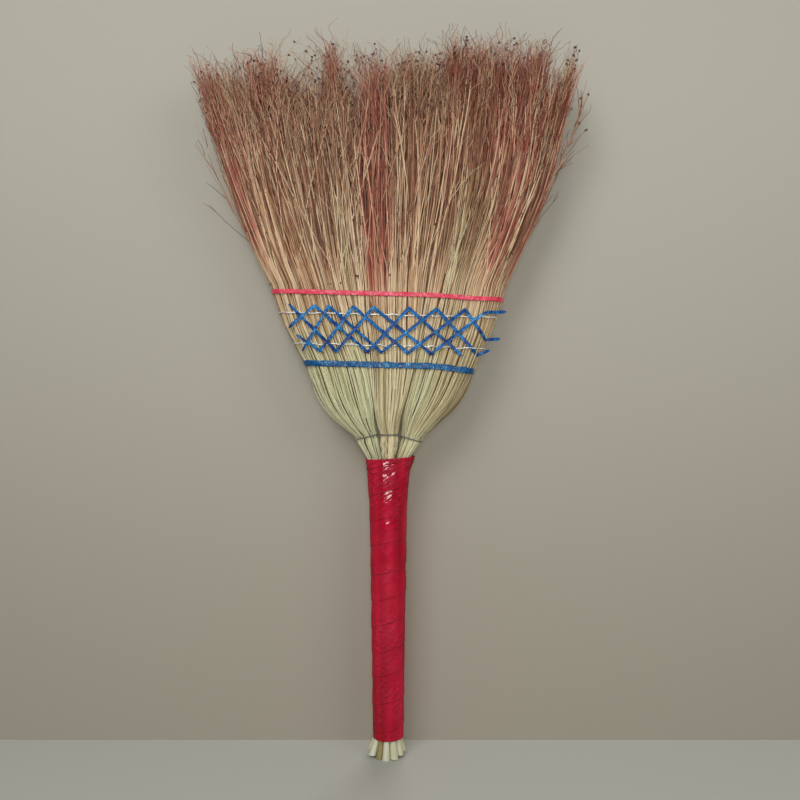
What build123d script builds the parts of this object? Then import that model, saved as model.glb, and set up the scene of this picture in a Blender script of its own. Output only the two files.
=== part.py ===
# Hand broom of sorghum straw: three bunches tied side by side into a flat fan, with their
# stalks bundled into a round handle under a spiral winding of plastic film.
#
# Frame: +Z up from the cut stalk ends to the sweeping tips, X across the fan, and the front
# of the broom towards -Y. The origin is the centre of the stalk ends, where the broom stands.
# Millimetres throughout.

import math
import os
import random

from build123d import *

os.makedirs("parts", exist_ok=True)

# Lengths along the broom, each counted from the end of the one before
butt_length = 20.0  # bare stalk ends below the film
film_length = 309.0  # handle under film
neck_length = 23.0  # film to the middle of the neck ties
shoulder_length = 82.0  # neck ties to the middle of the blue ribbon
thread_rise = 21.0  # blue ribbon to the lower thread
thread_spacing = 34.0  # lower thread to the upper thread
ribbon_rise = 23.0  # upper thread to the middle of the red ribbon
sweep_length = 277.0  # red ribbon to the tips

# Handle film, wound as one tape whose turns lap like shingles
foot_bore_radius = 16.6
grip_bore_radius = 18.2
collar_bore_radius = 19.6
head_bore_half_width = 24.4
head_bore_half_depth = 20.0
bore_height_shares = (0.0, 0.4, 0.68, 1.0)  # of the film's length
head_squareness = 3.0  # exponent of the oval at the head; 2 is an ellipse
film_thickness = 0.3
film_width = 38.0
film_pitch = 29.0
film_lap_gap = 0.6
film_head_tilt = 3.5  # degrees, rising to the right
film_steps_per_turn = 24

# Stalks in the handle
stalk_gap = 0.2
outer_stalk_shares = (1.0, 1.14, 0.86, 1.05, 0.92, 1.18, 0.88, 1.0, 1.12, 0.9, 1.08, 0.87)
inner_stalk_shares = (1.0, 0.9, 1.1, 0.95, 1.05, 1.0)
outer_stalk_turn = -97.0  # degrees, where the outer ring starts
butt_flare = 3.4  # how far the outer stalk ends splay
butt_trim = 7.0  # how unevenly the stalk ends are cut
outer_trim_shares = (0.0, 0.12, 0.45, 0.8, 0.55, 0.3, 0.6, 0.2, 0.75, 0.9, 0.4, 0.1)
inner_trim_shares = (0.1, 0.35, 0.6, 0.2, 0.5, 0.3)

# Wire bindings round the stalks, under the film
wire_diameter = 0.9
wire_pitch = 1.4
wire_turns = 3
wire_clearance = 0.2
binding_height_shares = (0.1, 0.48, 0.84)  # of the film's length

# Straw bunches: sizes of all three together, and of the middle one
seat_depth = 25.0  # how far the bunches reach down inside the film
seat_clearance = 0.7
neck_half_width = 37.0
neck_half_depth = 17.5
neck_middle_half_width = 9.3
neck_cleft = 3.2  # between two bunches at their ties
waist_height = 10.0  # the straight stretch that each tie sits on
zone_margin = 9.0  # how far the stitched zone runs past its two ribbons
blue_half_width = 95.0
blue_half_depth = 27.0
blue_middle_half_width = 24.0
zone_middle_half_width = 33.5
zone_half_width = 117.0  # halfway up the stitched zone
red_half_width = 132.0
red_half_depth = 22.0
red_middle_half_width = 42.0
bunch_gap = 0.5
head_cleft = 0.8
side_depth_shares = (0.62, 0.68, 0.92, 0.92)  # of the middle bunch, at seat, head and waist
shoulder_height_shares = (0.12, 0.33, 0.62)  # waist to stitched zone
shoulder_width_shares = (0.29, 0.59, 0.84)
shoulder_depth_shares = (0.4, 0.75, 0.97)
shoulder_middle_shares = (0.15, 0.39, 0.69)
corner_share = 0.75  # corner radius over half depth
corner_limit_share = 0.94  # corner radius over half width, at most
flute_count = 26
flute_depth = 1.2
flute_depth_limit_share = 0.09  # flute depth over half width, at most

# Sweeping straw above the red ribbon
slice_below = 7.0  # how far the strands' root slice reaches below the red ribbon's middle
side_columns = 17
middle_columns = 16
strand_rows = 10
root_margin = 1.6
root_sink = 3.0
root_radius = 1.25
knee_radius = 1.15
tip_radius = 0.7
knee_height = 80.0  # above the root slice
knee_half_width = 168.0
knee_half_depth = 27.0
tip_half_width = 214.0
tip_half_depth = 36.0
tip_unevenness = 13.0
tip_shear = 9.0  # how far the front straw leans to the right and the back straw to the left
jitter_share = 0.22  # of the spacing between strands
strand_sides = 4

# Sorghum grains left on the tips
grain_radius = 1.6
grain_clearance = 0.2
strands_per_grain = 6

# Neck ties, decorative threads and ribbons
tie_diameter = 1.2
tie_clearance = 0.3
tie_tilts = (-8.0, 0.0, 11.0)  # degrees, left, middle and right
knot_radius = 1.7
knot_shares = (-0.35, 0.042)  # places of the threads' knots on the back, clear of the lacing
thread_diameter = 1.1
thread_clearance = 0.25
ribbon_thickness = 0.4
ribbon_clearance = 0.25
blue_ribbon_width = 6.8
red_ribbon_width = 5.4
droop = 1.5  # degrees that every row hangs lower towards the right

# Blue lacing over the threads, on the front and the back
lace_width = 3.2
lace_thickness = 0.3
lace_layer_gap = 0.3
lace_reach = 7.5  # how far its points pass the threads
stitch_width = 1.8
stitch_height = 1.1
stitch_clearance = 0.3
tail_thickness = 0.5
cut_overrun = 5.0

# Each lacing ribbon's points: place across the fan over the stitched zone's half width, and
# place up the rows, from 0 at the lower points to 1 at the upper ones. The last point of
# some is a loose end that sticks out past the fan's right side.
lacing_shares = {
    "lacing_ribbon_first": ((-0.93, 1.0), (-0.486, 0.0), (-0.137, 1.0), (0.41, 0.0), (0.92, 0.95)),
    "lacing_ribbon_second": ((-0.93, 0.52), (-0.694, 1.0), (-0.19, 0.0), (0.197, 1.0), (0.69, 0.0)),
    "lacing_ribbon_third": ((-0.8, 0.02), (-0.56, 1.0), (-0.06, 0.0), (0.462, 1.0), (0.85, 0.0)),
    "lacing_ribbon_fourth": ((-0.85, 0.33), (-0.64, 0.0), (-0.325, 1.0), (0.19, 0.0), (0.732, 1.0), (0.93, 0.35)),
}
tail_shares = {
    "lacing_ribbon_first": (1.13, 0.99),
    "lacing_ribbon_third": (0.97, 0.12),
    "lacing_ribbon_fourth": (1.07, 0.38),
}

# Heights worked out from the lengths
film_foot = butt_length
film_head = film_foot + film_length
neck_height = film_head + neck_length
blue_height = neck_height + shoulder_length
lower_thread_height = blue_height + thread_rise
upper_thread_height = lower_thread_height + thread_spacing
red_height = upper_thread_height + ribbon_rise
tip_height = red_height + sweep_length
seat_height = film_head - seat_depth
zone_foot = blue_height - zone_margin
zone_head = red_height + zone_margin
zone_middle = (zone_foot + zone_head) / 2
slice_foot = red_height - slice_below
waist_foot = neck_height - waist_height / 2
waist_head = neck_height + waist_height / 2
binding_room = wire_diameter + 2 * wire_clearance


def between(place, places, values):
    """The value at a place, on straight lines through the given places and values."""
    place = min(max(place, places[0]), places[-1])
    for low, high, value, next_value in zip(places, places[1:], values, values[1:]):
        if place <= high:
            share = (place - low) / (high - low)
            return value + (next_value - value) * share
    return values[-1]


# The film's bore: a slow taper from the foot, then a flare from the collar to the head

bore_heights = [film_foot + film_length * share for share in bore_height_shares]
taper_heights = bore_heights[:3]
collar_height = bore_heights[2]


def flared(height, start, end):
    """A value that leaves the start level at the collar and reaches the end at the head."""
    rise = max(0.0, (height - collar_height) / (film_head - collar_height))
    return start + (end - start) * rise**2


def taper_radius(height):
    radii = (foot_bore_radius, grip_bore_radius, collar_bore_radius)
    return between(height, taper_heights, radii)


def bore_half_width(height):
    return taper_radius(height) + flared(height, 0.0, head_bore_half_width - collar_bore_radius)


def bore_half_depth(height):
    return taper_radius(height) + flared(height, 0.0, head_bore_half_depth - collar_bore_radius)


def bore_radius(height, angle):
    """Distance from the axis to the film's inside, which turns from round to a squarish oval."""
    power = flared(height, 2.0, head_squareness)
    across = abs(math.cos(angle) / bore_half_width(height)) ** power
    through = abs(math.sin(angle) / bore_half_depth(height)) ** power
    return (across + through) ** (-1.0 / power)


def bundle_radius(height):
    return bore_half_depth(height) - binding_room


# Stalks of uneven thickness, packed in two rings round a core


def packed_ring(outer_radius, size_shares):
    """(angle, distance from the axis, radius) of each stalk in a full ring inside a radius."""

    def ring_with(unit):
        radii = [unit * share for share in size_shares]
        turns = []
        for radius, following in zip(radii, radii[1:] + radii[:1]):
            near, far = outer_radius - radius, outer_radius - following
            apart = radius + following + stalk_gap
            turns.append(math.acos((near**2 + far**2 - apart**2) / (2 * near * far)))
        return radii, turns

    low, high = 0.0, outer_radius / 3
    for _ in range(50):
        unit = (low + high) / 2
        if sum(ring_with(unit)[1]) > 2 * math.pi:
            high = unit
        else:
            low = unit
    radii, turns = ring_with(low)
    angles = [math.radians(outer_stalk_turn) + sum(turns[:place]) for place in range(len(radii))]
    return [(angle, outer_radius - radius, radius) for angle, radius in zip(angles, radii)]


grip_bundle_radius = grip_bore_radius - binding_room
outer_ring = packed_ring(grip_bundle_radius, outer_stalk_shares)
inner_limit = grip_bundle_radius - 2 * max(radius for _, _, radius in outer_ring) - stalk_gap
inner_ring = packed_ring(inner_limit, inner_stalk_shares)
core_radius = inner_limit - 2 * max(radius for _, _, radius in inner_ring) - stalk_gap
stalk_top = seat_height - stalk_gap


def make_stalk(angle, distance, radius, trim_share, flare):
    """One stalk: straight in the film, tapering with it, and splayed at its cut end."""
    with BuildPart() as stalk:
        stations = [(butt_trim * trim_share, flare)]
        stations += [(height, 0.0) for height in bore_heights if height < stalk_top]
        stations.append((stalk_top, 0.0))
        for height, outward in stations:
            scale = bundle_radius(height) / grip_bundle_radius
            reach = distance * scale + outward
            with BuildSketch(Plane.XY.offset(height)):
                with Locations((reach * math.cos(angle), reach * math.sin(angle))):
                    Circle(radius * scale)
        loft(ruled=True)
    return stalk.part


stalks = {"left_stalks": [], "middle_stalks": [], "right_stalks": []}
stalk_places = [
    (place, trim, butt_flare) for place, trim in zip(outer_ring, outer_trim_shares)
] + [
    (place, trim, butt_flare * distance_share)
    for (place, trim), distance_share in zip(
        zip(inner_ring, inner_trim_shares), [0.4] * len(inner_ring)
    )
] + [((0.0, 0.0, core_radius), 0.0, 0.0)]
for (angle, distance, radius), trim, flare in stalk_places:
    across = distance * math.cos(angle)
    side = "middle_stalks"
    if across < -grip_bundle_radius / 3:
        side = "left_stalks"
    elif across > grip_bundle_radius / 3:
        side = "right_stalks"
    stalks[side].append(make_stalk(angle, distance, radius, trim, flare))


def write(part, name):
    part.label = name
    export_step(part, f"parts/{name}.step")
    print(name, len(part.solids()), "solids", round(part.volume), "mm3")


for name, group in stalks.items():
    write(Compound(children=group), name)


# Wire bindings, each a short coil drawn tight on the stalks


def make_binding(height):
    rise = wire_pitch * wire_turns
    coil_radius = bundle_radius(height + rise) + wire_clearance + wire_diameter / 2
    with BuildPart() as binding:
        with BuildLine(Plane.XY.offset(height)) as coil:
            Helix(wire_pitch, rise, coil_radius)
        with BuildSketch(Plane(origin=coil.line @ 0, z_dir=coil.line % 0)):
            Circle(wire_diameter / 2)
        sweep()
    return binding.part


for name, share in zip(("foot_binding", "grip_binding", "collar_binding"), binding_height_shares):
    write(make_binding(film_foot + film_length * share), name)


# Handle film: one tape on a helix, each turn's lower edge lapping over the turn below

film_lift = (film_thickness + film_lap_gap) * film_width / film_pitch
facet_room = 1.0 / math.cos(math.pi / film_steps_per_turn)
film_start = film_foot - film_width
head_rise = head_bore_half_width * math.tan(math.radians(film_head_tilt))
film_rise = film_length + film_width + 2 * head_rise
film_sections = math.ceil(film_rise / film_pitch * film_steps_per_turn) + 1


def film_edges(step):
    """(angle, heights, inner radii) of the tape's lower and upper edge at one step of the turn."""
    turn = 2 * math.pi * step / film_steps_per_turn
    low = film_start + film_pitch * step / film_steps_per_turn
    high = low + film_width
    low_radius = bore_radius(low, turn) * facet_room + film_lift
    high_radius = bore_radius(high, turn) * facet_room
    return turn, (low, high), (low_radius, high_radius)


edges = [film_edges(step) for step in range(film_sections)]
lap_gaps = []
for (_, heights, radii), (_, next_heights, next_radii) in zip(edges, edges[film_steps_per_turn:]):
    under_lap = between(next_heights[0], heights, radii)
    over_lap = between(heights[1], next_heights, next_radii)
    lap_gaps += [next_radii[0] - under_lap, over_lap - radii[1]]
print(f"handle_film least gap between turns {min(lap_gaps) - film_thickness:.2f} mm")

with BuildPart() as handle_film:
    for turn, (low, high), (low_radius, high_radius) in edges:
        radial = Plane(
            origin=(0, 0, 0),
            x_dir=(math.cos(turn), math.sin(turn), 0),
            z_dir=(math.sin(turn), -math.cos(turn), 0),
        )
        with BuildSketch(radial):
            Polygon(
                (low_radius, low),
                (low_radius + film_thickness, low),
                (high_radius + film_thickness, high),
                (high_radius, high),
                align=None,
            )
    loft(ruled=True)
    split(bisect_by=Plane.XY.offset(film_foot), keep=Keep.TOP)
    head_cut = Plane(origin=(0, 0, film_head)).rotated((0, -film_head_tilt, 0))
    split(bisect_by=-head_cut, keep=Keep.TOP)
write(handle_film.part, "handle_film")


# Straw bunches: outlines of all three together at each station up the broom

head_half_width = bore_half_width(film_head) - seat_clearance
head_half_depth = bore_half_depth(film_head) - seat_clearance
seat_half_width = bore_half_width(seat_height) - seat_clearance
seat_half_depth = bore_half_depth(seat_height) - seat_clearance
seat_middle_half_width = neck_middle_half_width * seat_half_width / neck_half_width * 1.1
head_middle_half_width = neck_middle_half_width * head_half_width / neck_half_width * 1.15


def shoulder(shares, low, high):
    return [low + (high - low) * share for share in shares]


shoulder_heights = shoulder(shoulder_height_shares, waist_head, zone_foot)
station_heights = [seat_height, film_head, waist_foot, waist_head]
station_heights += shoulder_heights + [zone_foot, zone_middle, zone_head]
station_widths = [seat_half_width, head_half_width, neck_half_width, neck_half_width]
station_widths += shoulder(shoulder_width_shares, neck_half_width, blue_half_width)
station_widths += [blue_half_width, zone_half_width, red_half_width]
station_depths = [seat_half_depth, head_half_depth, neck_half_depth, neck_half_depth]
station_depths += shoulder(shoulder_depth_shares, neck_half_depth, blue_half_depth)
station_depths += [blue_half_depth, (blue_half_depth + red_half_depth) / 2, red_half_depth]
station_middles = [seat_middle_half_width, head_middle_half_width]
station_middles += [neck_middle_half_width, neck_middle_half_width]
station_middles += shoulder(shoulder_middle_shares, neck_middle_half_width, blue_middle_half_width)
station_middles += [blue_middle_half_width, zone_middle_half_width, red_middle_half_width]
station_clefts = [head_cleft, head_cleft, neck_cleft, neck_cleft]
station_clefts += shoulder(shoulder_middle_shares, neck_cleft, bunch_gap)
station_clefts += [bunch_gap, bunch_gap, bunch_gap]
side_depths = [
    depth * share
    for depth, share in zip(
        station_depths, list(side_depth_shares) + [1.0] * (len(station_depths) - len(side_depth_shares))
    )
]


def bunch_outline(side, height):
    """(centre across, half width, half depth, corner radius) of a bunch; side is -1, 0 or 1."""
    middle = between(height, station_heights, station_middles)
    cleft = between(height, station_heights, station_clefts)
    if side == 0:
        centre, half_width = 0.0, middle
        half_depth = between(height, station_heights, station_depths)
    else:
        outer = between(height, station_heights, station_widths)
        half_width = (outer - middle - cleft) / 2
        centre = side * (outer - half_width)
        half_depth = between(height, station_heights, side_depths)
    corner = min(corner_share * half_depth, corner_limit_share * half_width)
    return centre, half_width, half_depth, corner


def fluted_section(side, height):
    """A bunch's section: straw bundles as arcs whose crests lie on a rounded rectangle."""
    centre, half_width, half_depth, corner = bunch_outline(side, height)
    depth = min(flute_depth, flute_depth_limit_share * half_width)
    crest_line = RectangleRounded(2 * half_width, 2 * half_depth, corner).wire()
    valley_line = RectangleRounded(
        2 * (half_width - depth), 2 * (half_depth - depth), corner - depth
    ).wire()
    plane = Plane(origin=(centre, 0, height))
    with BuildSketch(plane) as section:
        with BuildLine():
            for flute in range(flute_count):
                start = valley_line @ (flute / flute_count)
                crest = crest_line @ ((flute + 0.5) / flute_count)
                end = valley_line @ ((flute + 1) % flute_count / flute_count)
                ThreePointArc(start, crest, end)
        make_face()
    return section.sketch


def heights_through(low, high):
    return [low] + [height for height in station_heights if low < height < high] + [high]


def make_bunch(side, low, high):
    sections = [fluted_section(side, height) for height in heights_through(low, high)]
    with BuildPart() as bunch:
        loft(sections, ruled=True)
    return bunch.part


def envelope(height):
    """(half width, half depth, corner radius) round all three bunches in the stitched zone."""
    centre, half_width, half_depth, corner = bunch_outline(1, height)
    return centre + half_width, half_depth, corner


# Lacing: where every ribbon's points lie, on the fan's flat front

lower_row = lower_thread_height - lace_reach
upper_row = upper_thread_height + lace_reach
face_lean = math.atan((blue_half_depth - red_half_depth) / (zone_head - zone_foot))
droop_slope = math.tan(math.radians(droop))


def lacing_point(across_share, row_share):
    across = across_share * zone_half_width
    height = lower_row + (upper_row - lower_row) * row_share - across * droop_slope
    return across, height


def stitch_bar(across, height, half_length, room):
    """The ribbon's pass through the straw at one of its points, or the hole for it."""
    with BuildPart() as bar:
        with Locations((across, 0, height)):
            Box(stitch_width + 2 * room, 2 * half_length, stitch_height + 2 * room)
    return bar.part


all_points = [lacing_point(*point) for points in lacing_shares.values() for point in points]
hole_half_length = blue_half_depth + cut_overrun

for name, side in (("left_bunch", -1), ("middle_bunch", 0), ("right_bunch", 1)):
    straw = make_bunch(side, seat_height, slice_foot)
    with BuildPart() as bunch:
        add(straw)
        add(
            [stitch_bar(x, z, hole_half_length, stitch_clearance) for x, z in all_points],
            mode=Mode.SUBTRACT,
        )
    write(bunch.part, name)


def face_layer(height_offset):
    """The plane of one lacing layer on the front, leaning with the fan's face."""
    half_depth = between(zone_foot, station_heights, station_depths) + height_offset
    return Plane(
        origin=(0, -half_depth, zone_foot),
        x_dir=(1, 0, 0),
        z_dir=(0, -math.cos(face_lean), math.sin(face_lean)),
    )


thread_layer = thread_clearance * 2 + thread_diameter
down_layer = thread_layer + lace_layer_gap
up_layer = down_layer + lace_thickness + lace_layer_gap


def on_face(across, height):
    """A point of the lacing in the face layer's own coordinates."""
    return across, (height - zone_foot) / math.cos(face_lean)


def lace_run(start, end, offset, thickness):
    """One straight run of lacing ribbon on the front face."""
    (x1, y1), (x2, y2) = on_face(*start), on_face(*end)
    length = math.hypot(x2 - x1, y2 - y1)
    angle = math.degrees(math.atan2(y2 - y1, x2 - x1))
    with BuildPart() as run:
        with BuildSketch(face_layer(offset)):
            with Locations(((x1 + x2) / 2, (y1 + y2) / 2)):
                SlotCenterToCenter(length, lace_width, rotation=angle)
        extrude(amount=thickness)
    return run.part


def make_lacing(name, shares):
    """A ribbon that zigzags over the front, passes through the straw and returns behind."""
    points = [lacing_point(*share) for share in shares]
    runs = []
    for start, end in zip(points, points[1:]):
        falling = end[1] < start[1]
        runs.append(lace_run(start, end, down_layer if falling else up_layer, lace_thickness))
    back_runs = [mirror(run, about=Plane.XZ) for run in runs]
    if name in tail_shares:
        tail_end = lacing_point(*tail_shares[name])
        runs.append(lace_run(points[-1], tail_end, up_layer, lace_thickness))
    bars = []
    for across, height in points:
        half_depth = between(height, station_heights, station_depths)
        reach = half_depth + (up_layer + lace_thickness / 2) / math.cos(face_lean)
        bars.append(stitch_bar(across, height, reach, 0.0))
    with BuildPart() as ribbon:
        add(bars[0])
        add(bars[1:] + runs + back_runs)
    return ribbon.part


for name, shares in lacing_shares.items():
    write(make_lacing(name, shares), name)


# Ribbons and threads round the fan


def sleeve(low, high, room):
    """A solid that follows the fan's outside, grown by room."""
    with BuildPart() as solid:
        for height in heights_through(low, high):
            half_width, half_depth, corner = envelope(height)
            with BuildSketch(Plane.XY.offset(height)):
                RectangleRounded(2 * (half_width + room), 2 * (half_depth + room), corner + room)
        loft(ruled=True)
    return solid.part


def make_ribbon(height, width):
    sag = envelope(height)[0] * droop_slope + width
    low, high = height - sag, height + sag
    side_slope = (red_half_width - blue_half_width) / (zone_head - zone_foot)
    lean_room = 1.0 / math.cos(math.atan(side_slope))
    room = ribbon_clearance * lean_room
    with BuildPart() as ribbon:
        add(sleeve(low, high, room + ribbon_thickness * lean_room))
        add(sleeve(low, high, room), mode=Mode.SUBTRACT)
        with Locations(Location((0, 0, height), (0, droop, 0))):
            Box(3 * red_half_width, 4 * blue_half_depth, width, mode=Mode.INTERSECT)
    return ribbon.part


write(make_ribbon(blue_height, blue_ribbon_width), "blue_ribbon")
write(make_ribbon(red_height, red_ribbon_width), "red_ribbon")


def knotted_loop(plane, width, depth, corner, diameter, knot_place):
    """A cord round a rounded rectangle, with its knot on the back."""
    path = plane * RectangleRounded(width, depth, corner).wire()
    with BuildPart() as loop:
        with BuildSketch(Plane(origin=path @ 0, z_dir=path % 0)):
            Circle(diameter / 2)
        sweep(path=path)
        with Locations(plane.from_local_coords(Vector(knot_place, depth / 2 + knot_radius / 2, 0))):
            Sphere(knot_radius)
    return loop.part


def make_thread(height, knot_share):
    """A thread round the fan, on a plane that hangs lower towards the right."""
    level_half_width, _, corner = envelope(height)
    left = envelope(height + level_half_width * droop_slope)[0]
    right, half_depth, _ = envelope(height - level_half_width * droop_slope)
    room = (thread_diameter / 2 + thread_clearance) * 1.15
    stretch = 1.0 / math.cos(math.radians(droop))
    plane = Plane(origin=((right - left) / 2, 0, height)).rotated((0, droop, 0))
    return knotted_loop(
        plane,
        (left + right) * stretch + 2 * room,
        2 * (half_depth + room),
        corner + room,
        thread_diameter,
        zone_half_width * knot_share,
    )


write(make_thread(lower_thread_height, knot_shares[0]), "lower_thread")
write(make_thread(upper_thread_height, knot_shares[1]), "upper_thread")

for name, side, tilt in zip(("left_neck_tie", "middle_neck_tie", "right_neck_tie"), (-1, 0, 1), tie_tilts):
    centre, half_width, half_depth, corner = bunch_outline(side, neck_height)
    room = tie_diameter / 2 + tie_clearance
    stretch = 1.0 / math.cos(math.radians(tilt))
    tie_plane = Plane(origin=(centre, 0, neck_height)).rotated((0, tilt, 0))
    write(
        knotted_loop(
            tie_plane,
            2 * half_width * stretch + 2 * room,
            2 * (half_depth + room),
            corner + room,
            tie_diameter,
            0.0,
        ),
        name,
    )


# Sweeping straw: strands on a grid, spreading from the root slice to the tips

spread_heights = (zone_head - root_sink, zone_head + knee_height, tip_height)
width_spreads = (1.0, knee_half_width / red_half_width, tip_half_width / red_half_width)
depth_spreads = (1.0, knee_half_depth / red_half_depth, tip_half_depth / red_half_depth)
strand_radii = (root_radius, knee_radius, tip_radius)


def strand_roots(side, columns):
    """Root places of a bunch's strands on a staggered grid, inside its rounded outline."""
    centre, half_width, half_depth, corner = bunch_outline(side, zone_head)
    reach, thick = half_width - root_margin, half_depth - root_margin
    inner_corner = corner - root_margin
    column_step = 2 * reach / columns

    def room_at(x):
        past_corner = max(0.0, abs(x) - (half_width - corner))
        return thick - inner_corner + math.sqrt(inner_corner**2 - past_corner**2)

    roots = []
    for column in range(columns):
        column_place = -reach + column_step * (column + 0.5)
        rows = round(strand_rows * room_at(column_place) / thick)
        for row in range(rows):
            stagger = (row * 3 % strand_rows) / strand_rows - 0.5
            x = column_place + 0.8 * stagger * column_step
            row_step = 2 * room_at(x) / rows
            y = row_step * (row + 0.5 - rows / 2)
            roots.append((centre + x, y, column_step, row_step))
    return roots


def make_strand(root, rng):
    """One straw as a ruled loft through three small sections; returns it with its tip."""
    x, y, column_step, row_step = root
    jitter_x = jitter_share * column_step * rng.uniform(-1, 1)
    jitter_y = jitter_share * row_step * rng.uniform(-1, 1)
    tip_rise = tip_unevenness * rng.uniform(-1, 0.5)
    twist = rng.uniform(0, 90)
    with BuildPart() as strand:
        for place in range(3):
            height = spread_heights[place] + (tip_rise if place == 2 else 0.0)
            shift = (0.0, 0.5, 1.0)[place]
            across = (x + jitter_x * shift) * width_spreads[place]
            across += tip_shear * shift * y / red_half_depth
            through = (y + jitter_y * shift) * depth_spreads[place]
            with BuildSketch(Plane.XY.offset(height)):
                with Locations((across, through)):
                    RegularPolygon(strand_radii[place], strand_sides, rotation=twist)
        loft(ruled=True)
    return strand.part, (across, through, height)


def make_bristles(side, columns, seed):
    rng = random.Random(seed)
    strands, tips = [], []
    for root in strand_roots(side, columns):
        strand, tip = make_strand(root, rng)
        strands.append(strand)
        tips.append(tip)
    root_slice = make_bunch(side, slice_foot, zone_head)
    with BuildPart() as bristles:
        add(root_slice)
        add(strands)
    print("strands", len(strands))
    return bristles.part, tips


def make_grains(tips, seed):
    """Grains on every few strands, each just above its tip."""
    rng = random.Random(seed)
    lift = grain_radius + grain_clearance
    grains = []
    for across, through, height in rng.sample(tips, len(tips) // strands_per_grain):
        with BuildPart() as grain:
            with Locations((across, through, height + lift)):
                Sphere(grain_radius)
        grains.append(grain.part)
    return Compound(children=grains)


for name, side, columns, seed in (
    ("left", -1, side_columns, 1),
    ("middle", 0, middle_columns, 2),
    ("right", 1, side_columns, 3),
):
    bristles, tips = make_bristles(side, columns, seed)
    write(bristles, f"{name}_bristles")
    write(make_grains(tips, seed), f"{name}_grains")
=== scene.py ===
# %% [markdown]
# # A hand broom of sorghum straw
# The CAD model gives every piece its place and its size. This lesson gives them their looks:
# thousands of straws, a wound film, foil ribbons and cut stalk ends, one after the other.

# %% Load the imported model
import math
import bpy
import numpy as np
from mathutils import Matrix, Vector, noise


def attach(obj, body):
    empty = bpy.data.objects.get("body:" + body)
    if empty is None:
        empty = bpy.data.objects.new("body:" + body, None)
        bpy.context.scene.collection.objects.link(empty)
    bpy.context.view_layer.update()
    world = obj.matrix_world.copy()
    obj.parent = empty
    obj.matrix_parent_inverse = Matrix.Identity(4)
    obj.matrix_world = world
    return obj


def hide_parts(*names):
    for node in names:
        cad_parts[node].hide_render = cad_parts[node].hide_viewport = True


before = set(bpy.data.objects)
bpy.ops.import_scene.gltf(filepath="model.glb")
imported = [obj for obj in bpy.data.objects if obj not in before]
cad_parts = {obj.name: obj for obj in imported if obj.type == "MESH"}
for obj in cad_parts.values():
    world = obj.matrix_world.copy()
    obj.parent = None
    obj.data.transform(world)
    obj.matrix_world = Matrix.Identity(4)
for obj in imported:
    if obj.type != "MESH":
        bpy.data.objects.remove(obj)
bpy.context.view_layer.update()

MM = 0.001
TURN = 2 * np.pi
SIDES = {"left": -1, "middle": 0, "right": 1}

# %% [markdown]
# ## Camera
# The photograph looks level at the broom from about a metre away. A camera points down its own
# -Z axis, so a quarter turn about X makes it look along +Y. The lens follows from how many
# pixels one millimetre of the broom takes in the picture.

# %% Camera at the photograph's place
UPRIGHT = (math.radians(90), 0, 0)
bpy.ops.object.camera_add(location=(13.2 * MM, -955 * MM, 394 * MM), rotation=UPRIGHT)
camera = bpy.context.object
camera.data.sensor_width = 36
camera.data.lens = 38.6
camera.data.clip_start = 0.05
bpy.context.scene.camera = camera
bpy.context.scene.view_settings.view_transform = "Standard"
print("camera lens", camera.data.lens, "mm")

# %% [markdown]
# ## Helpers for materials
# A material is a tree of nodes. Written out link by link it is long, so one small class wraps
# a socket and lets Python's own signs build the Math nodes: `1 - mask` adds a Subtract node.
# A second class holds one material. Its method `node` adds any other node in one call, and a
# few short methods name the nodes that every finish of the broom uses.

# %% A socket that can be calculated with
class Wire:
    """A node's output that can be added, subtracted and multiplied."""

    def __init__(self, finish, socket):
        self.finish, self.socket = finish, socket

    def output(self, name):
        return Wire(self.finish, self.socket.node.outputs[name])

    def maths(self, operation, *values):
        return self.finish.node("Math", {"operation": operation}, dict(enumerate(values)))

    def __add__(self, other):
        return self.maths("ADD", self, other)

    def __sub__(self, other):
        return self.maths("SUBTRACT", self, other)

    def __rsub__(self, other):
        return self.maths("SUBTRACT", other, self)

    def __mul__(self, other):
        return self.maths("MULTIPLY", self, other)

    __radd__ = __add__
    __rmul__ = __mul__


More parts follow.
